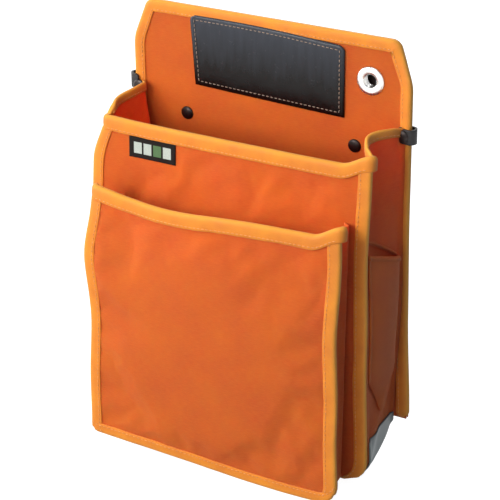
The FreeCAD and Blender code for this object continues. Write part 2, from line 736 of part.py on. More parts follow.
def write():
    os.makedirs("parts", exist_ok=True)
    for piece in pieces:
        piece.Shape.exportStep(f"parts/{piece.Label}.step")
        box = piece.Shape.BoundBox
        print(f"{piece.Label:30s} volume {piece.Shape.Volume:9.1f}  "
              f"x {box.XMin:7.1f} {box.XMax:7.1f}  y {box.YMin:7.1f} {box.YMax:7.1f}  "
              f"z {box.ZMin:7.1f} {box.ZMax:7.1f}")


build()
check()
write()
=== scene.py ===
"""Looks of the electrician's tool pouch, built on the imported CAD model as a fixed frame.

The pouch hangs from a belt by its tall back panel.  X runs across it, -Y is its front and +Z is
up, and every length is in metres.  The soft walls are "places": functions that turn a spot on a
wall, given as (across, up, out from its middle layer), into a point.  Cloth, binding tapes,
stitches, tag and patch are all laid on the same places, so they follow every sag and curl.
"""
import json
import math

import bmesh
import bpy
import numpy as np
from mathutils import Matrix, Vector, noise


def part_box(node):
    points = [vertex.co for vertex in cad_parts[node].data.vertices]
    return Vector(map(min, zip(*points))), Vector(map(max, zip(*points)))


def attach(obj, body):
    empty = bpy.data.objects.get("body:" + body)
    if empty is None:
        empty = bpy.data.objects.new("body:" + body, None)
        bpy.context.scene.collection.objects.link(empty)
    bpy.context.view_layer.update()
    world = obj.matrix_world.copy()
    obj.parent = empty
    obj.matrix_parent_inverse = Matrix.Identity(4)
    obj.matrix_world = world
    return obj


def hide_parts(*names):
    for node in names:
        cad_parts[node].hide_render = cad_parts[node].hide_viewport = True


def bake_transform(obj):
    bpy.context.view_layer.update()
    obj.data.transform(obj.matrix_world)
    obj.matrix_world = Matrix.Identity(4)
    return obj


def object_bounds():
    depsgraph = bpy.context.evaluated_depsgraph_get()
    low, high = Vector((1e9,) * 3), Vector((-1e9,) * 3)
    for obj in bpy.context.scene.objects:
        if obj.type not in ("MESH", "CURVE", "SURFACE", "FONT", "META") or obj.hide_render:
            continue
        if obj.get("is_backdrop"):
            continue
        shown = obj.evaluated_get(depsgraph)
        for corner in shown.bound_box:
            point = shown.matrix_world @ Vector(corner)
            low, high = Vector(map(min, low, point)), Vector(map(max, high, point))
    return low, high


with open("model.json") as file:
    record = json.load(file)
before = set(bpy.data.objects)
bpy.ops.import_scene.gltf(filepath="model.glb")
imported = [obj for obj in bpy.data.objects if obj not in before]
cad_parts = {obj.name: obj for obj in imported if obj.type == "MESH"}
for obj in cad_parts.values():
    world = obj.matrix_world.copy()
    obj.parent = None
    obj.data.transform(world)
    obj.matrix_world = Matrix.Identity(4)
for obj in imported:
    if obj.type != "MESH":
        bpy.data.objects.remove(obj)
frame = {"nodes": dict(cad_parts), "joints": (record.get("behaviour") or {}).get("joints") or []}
bpy.context.view_layer.update()
CAD_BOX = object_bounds()

MM = 0.001
ACROSS = np.array((1.0, 0.0, 0.0))
SIDES = (("left", -1), ("right", 1))


# ---------------------------------------------------------------- sizes read from the frame

def size(node):
    low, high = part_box(node)
    return high - low


def low_of(node):
    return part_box(node)[0]


def high_of(node):
    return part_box(node)[1]


def reach_above(node, height):
    """How far a node reaches to the right among its corners above a height."""
    return max(v.co.x for v in frame["nodes"][node].data.vertices if v.co.z > height)


HINGES = {joint["name"]: joint["pos_m"] for joint in frame["joints"]}
CLOTH = size("back_panel_front").y
SLACK = 0.008    # how much longer a settling sheet's cloth is than drawn, as a share
BACK_Y = (low_of("back_stiffener").y + high_of("back_stiffener").y) / 2
HALF_BACK = high_of("back_panel_rear").y - BACK_Y
TAPE = high_of("back_binding").y - BACK_Y - HALF_BACK
FOOT_Z = HINGES["main_mouth"][2]

BACK_HALF = high_of("back_binding").x
BACK_FOOT = low_of("back_binding").z
BACK_TOP = high_of("back_binding").z
TOP_HALF = reach_above("back_binding", BACK_TOP - 1 * MM)
SHOULDER = max(v.co.z for v in frame["nodes"]["back_binding"].data.vertices if v.co.x > BACK_HALF - MM)

MAIN_HALF = high_of("main_mouth_binding").x
POCKET_HALF = high_of("pocket_mouth_binding").x
TAPE_WIDTH = size("main_edge_binding_left").x
GUSSET_X = high_of("main_gusset_right_rear").x - CLOTH
POCKET_GUSSET_X = high_of("pocket_gusset_right_rear").x - CLOTH
GUSSET_TOP = high_of("main_gusset_right_rear").z


def lean_of(panel, hinge):
    """A front panel's lean, from how far its top is behind its hinge line."""
    top = high_of(panel)
    return math.atan2(top.y - CLOTH / 2 - hinge[1], top.z - hinge[2])


MAIN_FOOT = np.array(HINGES["main_mouth"])
MAIN_LEAN = lean_of("main_front_panel", MAIN_FOOT)
MAIN_MOUTH = (high_of("main_mouth_binding").z - FOOT_Z) / math.cos(MAIN_LEAN)
POCKET_FOOT = np.array(HINGES["front_pocket_mouth"])
POCKET_LEAN = lean_of("pocket_front_panel", POCKET_FOOT)
POCKET_MOUTH = (high_of("pocket_mouth_binding").z - FOOT_Z) / math.cos(POCKET_LEAN)


# ---------------------------------------------------------------- small curves

def smooth(x):
    """0 below 0, 1 above 1 and a smooth rise between."""
    x = np.clip(x, 0.0, 1.0)
    return x * x * (3 - 2 * x)


def bump(x, middle, width):
    """A bell of height 1."""
    return np.exp(-((x - middle) / width) ** 2)


def round_off(distance, radius):
    """How far a rounded corner falls back at a distance from its outline's end."""
    short = np.clip(radius - distance, 0.0, radius)
    return radius - np.sqrt(radius ** 2 - short ** 2)


def shares(rows, columns, first=0.0):
    """Shares across a sheet, from first to 1, and up it, from 0 to 1."""
    return np.linspace(first, 1, columns)[None, :], np.linspace(0, 1, rows)[:, None]


def flat_spots(across, up):
    """Each spot's place on the flat cloth, which the materials read."""
    return np.stack(np.broadcast_arrays(across, up, 0.0), axis=-1)


def ripple(x, z, seed, scale=0.05, octaves=3):
    """Gentle random unevenness of about -1 to 1 that repeats exactly each run."""
    x, z = np.broadcast_arrays(x, z)
    flat = [
        noise.fractal((a / scale, b / scale, seed * 7.3), 1.0, 2.0, octaves)
        for a, b in zip(x.ravel(), z.ravel())
    ]
    return np.array(flat).reshape(x.shape)


# ---------------------------------------------------------------- soft walls

def front_wall(foot, lean, form):
    """A wall that faces the front and leans back; form(x, z) is how far it stands out."""
    up = np.array((0.0, math.sin(lean), math.cos(lean)))
    out_way = np.array((0.0, -math.cos(lean), math.sin(lean)))

    def place(x, z, out=0.0):
        x, z, out = np.broadcast_arrays(np.asarray(x, float), np.asarray(z, float), out)
        depth = (form(x, z) + out)[..., None]
        return foot + x[..., None] * ACROSS + z[..., None] * up + depth * out_way

    return place


def back_form(x, z):
    """The free edges outside the stiffener board curl forward a little, the right one more."""
    board = high_of("back_stiffener").x
    edge = smooth((np.abs(x) - board) / (BACK_HALF - board))
    curl = np.where(x > 0, 2.5 * MM, 1.2 * MM)
    return curl * edge * smooth((z - 0.08) / 0.1) + 0.25 * MM * ripple(x, z, 1, 0.07)


def back_place(x, z, out=0.0):
    """The back panel stands upright, and its right edge spreads a little near the foot; z is
    the height above the foot of the pouch."""
    x, z, out = np.broadcast_arrays(np.asarray(x, float), np.asarray(z, float), out)
    depth = back_form(x, z) + out
    spread = 2.8 * MM * smooth((x - 0.08) / 0.025) * smooth((0.1 - z) / 0.08)
    return np.stack((x + spread, BACK_Y - depth, FOOT_Z + z), axis=-1)


def main_form(x, z):
    """The main front is pushed out a little low down, its mouth bows forward, and the front
    pocket pulls its left edge forward."""
    crown = np.clip(1 - (x / MAIN_HALF) ** 2, 0, 1)
    height = np.clip(z / MAIN_MOUTH, 0, 1.1)
    belly = 1.5 * MM * np.sin(math.pi * np.clip(height, 0, 1))
    mouth = 2.0 * MM * height ** 4
    pulled = 4.0 * MM * bump(z, 0.78 * MAIN_MOUTH, 0.05) * smooth((-x - 0.07) / 0.035)
    return crown * (belly + mouth) + pulled + 0.5 * MM * ripple(x, z, 2, 0.06)


def pocket_form(x, z):
    """The front pocket's belly, and its mouth, which hangs open most left of the middle."""
    crown = np.clip(1 - (x / POCKET_HALF) ** 2, 0, 1)
    height = np.clip(z / POCKET_MOUTH, 0, 1.1)
    belly = 3.0 * MM * np.sin(math.pi * np.clip(height, 0, 1))
    mouth = 7.0 * MM * height ** 3 * (0.7 + 0.3 * bump(x, -0.03, 0.05))
    left_edge = 3.0 * MM * bump(z, 0.8 * POCKET_MOUTH, 0.04) * smooth((-x - 0.06) / 0.03)
    return crown * (belly + mouth) + left_edge + 0.5 * MM * ripple(x, z, 3, 0.06)


main_place = front_wall(MAIN_FOOT, MAIN_LEAN, main_form)
pocket_place = front_wall(POCKET_FOOT, POCKET_LEAN, pocket_form)


def main_mouth_line(x):
    """The main mouth's height along its wall: its right corner stands up."""
    right = 8.0 * MM * smooth((x - MAIN_HALF + 0.022) / 0.022)
    left = 1.0 * MM * smooth((-x - MAIN_HALF + 0.03) / 0.03)
    return MAIN_MOUTH + right + left


def main_foot_line(x):
    """The main front hangs a little lower at its right corner."""
    return -2.5 * MM * smooth((x - 0.02) / 0.07)


def pocket_mouth_line(x):
    """The front pocket's mouth sags left of its middle and its right corner stands up."""
    sag = 4.0 * MM * bump(x, -0.035, 0.045)
    right = 8.0 * MM * smooth((x - POCKET_HALF + 0.02) / 0.02)
    left = 1.5 * MM * smooth((-x - POCKET_HALF + 0.03) / 0.03)
    return POCKET_MOUTH - sag + right + left


def main_edge(z, side):
    """How far the main front's edge is from the middle at height z: the left one flares out
    below the mouth, the right one near the foot, where its corner is rounded."""
    if side < 0:
        flare = 9.5 * MM * smooth((MAIN_MOUTH + 0.005 - z) / 0.036) * smooth(z / 0.12)
    else:
        flare = 5.0 * MM * smooth((0.16 - z) / 0.16)
    corner = round_off(z - main_foot_line(side * 0.09), 16 * MM if side > 0 else 9 * MM)
    return MAIN_HALF + flare + 0.5 * MM * np.sin(z * 60 + side) - corner


def pocket_edge(z, side):
    """The same for the front pocket, whose left edge bulges most near its mouth."""
    if side < 0:
        flare = 4.0 * MM * bump(z, 0.8 * POCKET_MOUTH, 0.04) + 3.3 * MM * smooth((0.17 - z) / 0.04)
    else:
        flare = 5.0 * MM * smooth((0.12 - z) / 0.12)
    return POCKET_HALF + flare + 0.6 * MM * np.sin(z * 75 + 2 * side)


def pocket_foot_line(x):
    """The front pocket's lower edge dips more and more to the right."""
    middle = -2.0 * MM * np.clip(1 - (x / POCKET_HALF) ** 2, 0, 1)
    right = -5.0 * MM * smooth((x + 0.06) / 0.14)
    corner_left = round_off(x + pocket_edge(0.0, -1), 6 * MM)
    corner_right = round_off(pocket_edge(0.0, 1) - x, 14 * MM)
    return middle + right + corner_left + corner_right


def pocket_outline(z, side):
    """The front pocket's edge with its lower corner rounded off."""
    lowest = pocket_foot_line(side * (pocket_edge(0.0, side) - 15 * MM))
    return pocket_edge(z, side) - round_off(z - lowest, 14 * MM if side > 0 else 6 * MM)


def wrapped(place, corner, radius):
    """The same wall, with what lies beyond its corners bent round to run to the rear."""
    def around(x, z, out=0.0):
        x, z, out = np.broadcast_arrays(np.asarray(x, float), np.asarray(z, float), out)
        beyond = np.clip(np.abs(x) - corner, 0, None)
        turn = np.minimum(beyond / radius, math.pi / 2)
        straight = np.clip(beyond - radius * math.pi / 2, 0, None)
        points = place(np.clip(x, -corner, corner), z, 0.0)
        sideways = np.sign(x) * (radius + out) * np.sin(turn)
        bent = np.where(turn > 0, radius - (radius + out) * np.cos(turn), -out)
        offset = np.stack((sideways * (turn > 0), bent + straight, 0 * z), axis=-1)
        return points + offset
    return around


# ---------------------------------------------------------------- gussets

def floor_height(y):
    """The sloping floor's underside at a depth y of the row frame, above the foot.  It sags
    behind the main front's lower edge."""
    front, rear = low_of("main_floor_lining").y, high_of("main_floor_lining").y
    share = np.clip((y - front) / (rear - front), 0, 1)
    sag = (-0.5 + 7.0 * smooth(share / 0.4)) * MM * (1 - share ** 8)
    return share * (BACK_FOOT - FOOT_Z) - sag


def gusset_form(depth, height, side):
    """How far a main gusset stands in or out.  The right one folds inwards near its mouth and
    has a slanting crease low down; the left one bows outwards."""
    top = smooth((height - 0.45) / 0.5)
    belly = (2.5 if side > 0 else 1.0) * MM * np.sin(math.pi * np.clip(depth, 0, 1)) * (1 - top)
    if side > 0:
        fold = -8.0 * MM * bump(depth, 0.62, 0.25) * top
        rear = 4.0 * MM * smooth((0.5 - depth) / 0.5) * smooth((height - 0.1) / 0.5)
        crease = 3.0 * MM * bump(height - 0.33 + 0.29 * depth, 0.0, 0.06) * np.sin(math.pi * depth)
        return fold + rear + crease + belly
    fold = 3.5 * MM * bump(depth, 0.7, 0.25) * top * smooth((1 - depth) / 0.2)
    rear = -5.0 * MM * bump(depth, 0.16, 0.16) * top * smooth((1.04 - height) / 0.16)
    return fold + rear + belly


def main_gusset_wall(side):
    """place(depth, z, out) of a main gusset: depth is 0 at the back panel and 1 at the front."""
    rear_y = BACK_Y - HALF_BACK - CLOTH / 2

    def place(depth, z, out=0.0):
        depth, z, out = np.broadcast_arrays(np.asarray(depth, float), np.asarray(z, float), out)
        front = main_place(side * MAIN_HALF * np.ones_like(z), z, -CLOTH)
        flare = (main_edge(z, side) - MAIN_HALF) * smooth((depth - 0.5) / 0.5)
        share = np.clip(depth, 0, 1)
        y = rear_y + (front[..., 1] - rear_y) * share
        height = z / MAIN_MOUTH
        wide = 8.0 * MM if side < 0 else (2.5 + 2.0 * smooth(height - 0.1)) * MM
        seam = 3.4 * MM * smooth((share - 0.84) / 0.12) * smooth((z + 2 * MM) / (16 * MM))
        flange = seam + wide * smooth((0.1 - share) / 0.1)
        body = GUSSET_X + CLOTH / 2 + gusset_form(share, height, side)
        body = body + 0.6 * MM * ripple(y, z, 5 + side, 0.05) * np.sin(math.pi * share)
        x = side * (body + flange + flare + out)
        return np.stack((x, y, front[..., 2]), axis=-1)

    return place


def main_gusset_top(depth, side):
    """Height of a main gusset's top edge: steep by the front corner, then nearly level."""
    front = main_mouth_line(np.array(side * MAIN_HALF)) - 0.5 * MM
    rear = GUSSET_TOP - FOOT_Z
    depth = np.clip(depth, 0, 1)
    if side > 0:
        rise = 5.0 * MM * np.sin(math.pi * depth) ** 0.8
    else:
        rise = 5.5 * MM * smooth((1 - depth) / 0.14) * np.minimum(1, depth / 0.85) ** 1.5
    return rear + (front - rear) * depth ** 2 + rise


def main_gusset_foot(depth):
    """The height of a main gusset's foot, just over the sloping floor."""
    front_y = MAIN_FOOT[1]
    rear_y = BACK_Y - HALF_BACK
    return floor_height(rear_y + (front_y - rear_y) * depth) + 1.0 * MM


def pocket_gusset_wall(side):
    """place(depth, z, out) of a front pocket's gusset: 0 at the main front, 1 at its own."""
    def place(depth, z, out=0.0):
        depth, z, out = np.broadcast_arrays(np.asarray(depth, float), np.asarray(z, float), out)
        ones = np.ones_like(z)
        rear = main_place(side * POCKET_GUSSET_X * ones, z, CLOTH)
        front = pocket_place(side * (POCKET_HALF - 1 * MM) * ones, z, -CLOTH)
        flare = (pocket_outline(z, side) - POCKET_HALF) * smooth((depth - 0.3) / 0.7)
        share = np.clip(depth, 0, 1)[..., None]
        points = rear + (front - rear) * share
        share = share[..., 0]
        flange = 4.0 * MM * smooth((share - 0.84) / 0.12) - 5.0 * MM * smooth((0.16 - share) / 0.16)
        fold = -5.0 * MM * bump(share, 0.5, 0.25) * smooth((z / POCKET_MOUTH - 0.15) / 0.8)
        x = POCKET_GUSSET_X + flange + fold + flare + out
        x = x + 0.5 * MM * ripple(points[..., 1], z, 9 + side, 0.04) * np.sin(math.pi * share)
        points[..., 0] = side * x
        return points

    return place


def pocket_gusset_top(depth, side):
    front = pocket_mouth_line(np.array(side * POCKET_HALF)) - 4.0 * MM
    rear = POCKET_MOUTH + (1.0 * MM if side > 0 else -12.0 * MM)
    return rear + (front - rear) * np.clip(depth, 0, 1) ** 2


def pocket_gusset_foot(depth, side):
    front = pocket_foot_line(side * (pocket_edge(0.0, side) - 3 * MM)) + 3.0 * MM
    return 1.5 * MM + (front - 1.5 * MM) * np.clip(depth, 0, 1)


# ---------------------------------------------------------------- meshes

def add_mesh(name, points, faces, weave=None, rub=None):
    """A smooth-shaded mesh object.  weave is each vertex's place on the flat cloth in metres, which the
    materials read, and the last argument is how strongly each vertex is lightened by a painted
    highlight, from 0 to 1."""
    mesh = bpy.data.meshes.new(name)
    mesh.from_pydata([tuple(p) for p in points], [], faces)
    count = len(mesh.vertices)
    if weave is None:
        weave = np.asarray(points, float)
    attribute = mesh.attributes.new("weave", "FLOAT_VECTOR", "POINT")
    attribute.data.foreach_set("vector", np.asarray(weave, np.float32).reshape(count, 3).ravel())
    # the share of painted highlight at each vertex, which the tape's material reads
    attribute = mesh.attributes.new("rub", "FLOAT", "POINT")
    values = np.zeros(count) if rub is None else rub
    attribute.data.foreach_set("value", np.asarray(values, np.float32).ravel())
    tidy = bmesh.new()
    tidy.from_mesh(mesh)
    bmesh.ops.remove_doubles(tidy, verts=tidy.verts, dist=0.00002)
    bmesh.ops.dissolve_degenerate(tidy, dist=0.000001, edges=tidy.edges)
    bmesh.ops.recalc_face_normals(tidy, faces=tidy.faces)
    tidy.to_mesh(mesh)
    tidy.free()
    mesh.shade_smooth()
    made = bpy.data.objects.new(name, mesh)
    bpy.context.scene.collection.objects.link(made)
    return made


def grid_faces(rows, columns, start=0, closed_rows=False, closed_columns=False):
    """Quads between the points of a grid that is stored row by row."""
    faces = []
    for i in range(rows if closed_rows else rows - 1):
        for j in range(columns if closed_columns else columns - 1):
            corners = ((i, j), (i, j + 1), (i + 1, j + 1), (i + 1, j))
            faces.append([start + (a % rows) * columns + b % columns for a, b in corners])
    return faces


def grid_normals(points):
    """Unit normals of a grid of points."""
    along = np.gradient(points, axis=1)
    up = np.gradient(points, axis=0)
    normals = np.cross(along, up)
    return normals / np.maximum(np.linalg.norm(normals, axis=-1, keepdims=True), 1e-12)


def cloth_sheet(name, points, weave, thickness):
    """A closed sheet of even thickness whose middle layer is a grid of points."""
    rows, columns = points.shape[:2]
    normals = grid_normals(points) * thickness / 2
    layers = np.concatenate(((points + normals).reshape(-1, 3), (points - normals).reshape(-1, 3)))
    count = rows * columns
    faces = grid_faces(rows, columns) + [f[::-1] for f in grid_faces(rows, columns, count)]
    ring = [j for j in range(columns)]
    ring += [i * columns + columns - 1 for i in range(1, rows)]
    ring += [(rows - 1) * columns + j for j in range(columns - 2, -1, -1)]
    ring += [i * columns for i in range(rows - 2, 0, -1)]
    for a, b in zip(ring, ring[1:] + ring[:1]):
        faces.append([a, b, b + count, a + count])
    return add_mesh(name, layers, faces, np.concatenate((weave.reshape(-1, 3),) * 2))


def wall_grid(rows, columns, left, right, foot, top):
    """(u, v) grids that fill a wall between its edges; the four limits are functions."""
    s, t = shares(rows, columns)
    middle = (left(0.1) + right(0.1)) / 2
    half = (right(0.1) - left(0.1)) / 2
    u = middle + half * (2 * s - 1)
    v = foot(u) + (top(u) - foot(u)) * t
    u = left(v) + (right(v) - left(v)) * s
    v = foot(u) + (top(u) - foot(u)) * t
    return u, v


def settle(points, held, cap=3.0 * MM, frames=26):
    """Let a sheet find its own small folds between the spots that hold it: a short cloth
    simulation, with the cloth a little longer than drawn, that moves no spot further than
    cap."""
    rows, columns = points.shape[:2]
    mesh = bpy.data.meshes.new("settling")
    mesh.from_pydata([tuple(p) for p in points.reshape(-1, 3)], [], grid_faces(rows, columns))
    piece = bpy.data.objects.new("settling", mesh)
    scene = bpy.context.scene
    scene.collection.objects.link(piece)
    group = piece.vertex_groups.new(name="held")
    group.add([int(k) for k in np.flatnonzero(held)], 1.0, "REPLACE")
    modifier = piece.modifiers.new("cloth", "CLOTH")
    cloth = modifier.settings
    cloth.quality = 8
    cloth.mass = 0.0015
    cloth.air_damping = 4.0
    cloth.tension_stiffness = cloth.compression_stiffness = 30.0
    cloth.shear_stiffness = 12.0
    cloth.bending_stiffness = 1.5
    cloth.vertex_group_mass = "held"
    cloth.shrink_min = -SLACK
    for step in range(1, frames + 1):
        scene.frame_set(step)
    shown = piece.evaluated_get(bpy.context.evaluated_depsgraph_get())
    moved = np.array([tuple(v.co) for v in shown.data.vertices]).reshape(points.shape)
    scene.frame_set(1)
    bpy.data.objects.remove(piece)
    bpy.data.meshes.remove(mesh)
    move = moved - points
    reach = np.linalg.norm(move, axis=-1, keepdims=True)
    return points + move * np.minimum(1.0, cap / np.maximum(reach, 1e-9))


def on_wall(name, place, u, v, out=0.0, thickness=CLOTH, held=None):
    """A sheet of cloth that lies on a wall over the grids u and v.  If the spots that hold it
    are given, it settles between them."""
    u, v = np.broadcast_arrays(u, v)
    points = place(u, v, out)
    if held is not None:
        points = settle(points, held)
    return cloth_sheet(name, points, flat_spots(u, v), thickness)


REAR_WEAVE = 0.05    # where a tape's rear face starts on its flat cloth, clear of the front


def tape_section(room, width):
    """A folded tape's cross-section: (in from the fold, out from the middle) for each spot round it."""
    inner = room / 2
    outer = inner + TAPE
    bend = [
        (outer * (1 - math.cos(math.radians(a))), outer * math.sin(math.radians(a)))
        for a in (90, 66, 42, 18)
    ]
    wall = [
        (width, outer - 0.25 * TAPE), (width - 0.5 * MM, outer),
        (width - 1.6 * MM, outer - 0.1 * MM), (width * 0.55, outer + 0.12 * MM),
    ] + bend
    around = wall + [(a, -b) for a, b in reversed(wall)]
    around += [(width, -inner), (TAPE, -inner), (TAPE, inner), (width, inner)]
    return around


def tape(name, place, path, room, width, lift=0.0, seed=1, blunt=2.0 * MM):
    """Binding tape folded over an edge.  path(inset) gives the edge's spots (u, v) moved
    inwards, room is the thickness of cloth inside the fold, and its ends are rounded over a
    length of blunt."""
    section = tape_section(room, width)
    spots = path(0.0)
    u, v = np.asarray(spots[0], float), np.asarray(spots[1], float)
    along = run_along(place(u, v, 0.0))
    pucker = 0.22 * MM * ripple(along, 0.0, seed, 0.009, 2)
    sway = 0.35 * MM * ripple(along, 0.3, seed, 0.02, 2)
    past = np.clip(1 - np.minimum(along, along[-1] - along) / blunt, 0.0, 0.96)
    plump = np.sqrt(1 - past ** 2)
    rings, weave, rub = [], [], []
    for inset, out in section:
        kept = width / 2 + (inset - width / 2) * (0.35 + 0.65 * plump)
        u, v = path(kept + sway * min(1.0, inset / (0.5 * width)))
        puffed = out * (0.5 + 0.5 * plump) + np.sign(out) * pucker * (inset > TAPE)
        rings.append(place(u, v, puffed + lift))
        weave.append(flat_spots(along, inset + (REAR_WEAVE if out < 0 else 0)))
        # painted highlight share: 1 at the fold, fading within a millimetre or so of it
        rub.append(np.full_like(along, math.exp(-inset / (1.2 * MM))))
    rings = np.stack(rings, axis=1)
    rows, columns = rings.shape[:2]
    faces = grid_faces(rows, columns, closed_columns=True)
    faces.append(list(range(columns)))
    faces.append([(rows - 1) * columns + j for j in range(columns)][::-1])
    weave = np.stack(weave, axis=1)
    rub = np.stack(rub, axis=1)
    return add_mesh(name, rings.reshape(-1, 3), faces, weave.reshape(-1, 3), rub.ravel())


def run_along(points):
    """The distance along a line of points, at each of them."""
    steps = np.linalg.norm(np.diff(points, axis=0), axis=-1)
    return np.concatenate(((0.0,), np.cumsum(steps)))


STITCH_LENGTH = 2.3 * MM
STITCH_PITCH = 3.2 * MM
STITCH_INSET = 1.7 * MM    # from a tape's open edge
THREAD = 0.32 * MM

# A stitch's form: (share of its length, share of the thread's radius, rise in radii).
STITCH_FORM = (
    (-0.5, 0.15, -0.9), (-0.42, 0.8, -0.3), (0.0, 1.1, 0.25), (0.42, 0.8, -0.3), (0.5, 0.15, -0.9),
)


def resample(points, pitch):
    """Points at equal steps along a polyline."""
    along = run_along(points)
    count = max(2, int(along[-1] / pitch))
    at = (np.arange(count) + 0.5) * along[-1] / count
    return np.stack([np.interp(at, along, points[:, k]) for k in range(3)], axis=-1), at, along


def stitches(name, lines, sides=6):
    """Rows of sewn stitches, each a short plump thread that dips in at both ends."""
    points, faces = [], []
    for line, normals in lines:
        middles, at, along = resample(line, STITCH_PITCH)
        ahead, behind, out = (
            np.stack([np.interp(at + shift, along, values[:, k]) for k in range(3)], -1)
            for values, shift in ((line, STITCH_PITCH / 4), (line, -STITCH_PITCH / 4), (normals, 0.0))
        )
        for middle, way, up in zip(middles, ahead - behind, out):
            way = way / max(np.linalg.norm(way), 1e-9)
            up = up / max(np.linalg.norm(up), 1e-9)
            across = np.cross(way, up)
            start = len(points)
            for share, girth, rise in STITCH_FORM:
                centre = middle + way * share * STITCH_LENGTH + up * rise * THREAD
                for k in range(sides):
                    turn = 2 * math.pi * k / sides
                    ring = across * math.cos(turn) + up * math.sin(turn)
                    points.append(centre + ring * girth * THREAD)
            faces += grid_faces(len(STITCH_FORM), sides, start, closed_columns=True)
            faces.append([start + k for k in range(sides)][::-1])
            faces.append([start + (len(STITCH_FORM) - 1) * sides + k for k in range(sides)])
    return add_mesh(name, points, faces)


def sewn_line(place, u, v, out, lift=0.0):
    """A stitch row's points and outward normals on a wall, out on one face of it."""
    points = place(u, v, out + lift)
    above = place(u, v, out + math.copysign(1 * MM, out) + lift)
    return points, above - points


def tape_stitches(name, place, path, room, width, lift):
    """Two rows, one on each face of a folded tape, near its open edges."""
    u, v = path(width - STITCH_INSET)
    outer = room / 2 + TAPE
    return stitches(name, [sewn_line(place, u, v, face * outer, lift) for face in (1, -1)])


def turned(name, centre, axis, profile, sides=40):
    """A piece turned on an axis through centre; profile is (radius, along) pairs."""
    axis = Vector(axis).normalized()
    first = axis.orthogonal().normalized()
    second = axis.cross(first)
    points = []
    for radius, along in profile:
        for k in range(sides):
            turn = 2 * math.pi * k / sides
            ring = first * math.cos(turn) + second * math.sin(turn)
            points.append(tuple(Vector(centre) + axis * along + ring * max(radius, 1e-6)))
    faces = grid_faces(len(profile), sides, closed_columns=True)
    if profile[0] != profile[-1]:
        faces.append(list(range(sides))[::-1])
        faces.append([(len(profile) - 1) * sides + k for k in range(sides)])
    return add_mesh(name, points, faces)


def rounded_outline(corners, radii, inset, steps=8, per_metre=250):
    """Spots along a line through corners, each rounded, moved inwards (to the right of
    travel).  The count of spots doesn't depend on the inset."""
    corners = [np.array(corner, float) for corner in corners]
    ways = [(b - a) / np.linalg.norm(b - a) for a, b in zip(corners, corners[1:])]
    inward = [np.array((way[1], -way[0])) for way in ways]
    rows = []    # spot, its way in, the way in for an inset past the radius, and that radius

    def add_run(start, end, normal):
        count = max(2, int(np.linalg.norm(end - start) * per_metre))
        for k in range(count + 1):
            spot = start + (end - start) * k / count
            rows.append((spot, normal, spot, normal, (math.inf, math.inf)))

    start = corners[0]
    for i, (corner, radius) in enumerate(zip(corners[1:-1], radii)):
        before, after = inward[i], inward[i + 1]
        angle = math.acos(np.clip(before @ after, -1, 1))
        mitre = (before + after) / (1 + before @ after)
        reach = radius * math.tan(angle / 2)
        add_run(start, corner - ways[i] * reach, before)
        for k in range(1, steps):
            turn = angle * k / steps
            normal = (math.sin(angle - turn) * before + math.sin(turn) * after) / math.sin(angle)
            spot = corner + (mitre - normal) * radius
            rows.append((spot, normal, corner, mitre, (radius, radius)))
        start = corner + ways[i + 1] * reach
    add_run(start, corners[-1], inward[-1])

    spot, normal, corner, mitre, radius = np.array(rows).transpose(1, 0, 2)
    inset = np.broadcast_to(inset, len(rows))[:, None]
    spots = np.where(inset > radius, corner + mitre * inset, spot + normal * inset)
    return spots[:, 0], spots[:, 1]


# ---------------------------------------------------------------- materials

def linear(level):
    """One sRGB level of 0-255 as the linear value that a shader takes."""
    level = level / 255
    return level / 12.92 if level <= 0.04045 else ((level + 0.055) / 1.055) ** 2.4


def colour(red, green, blue):
    return (linear(red), linear(green), linear(blue), 1.0)


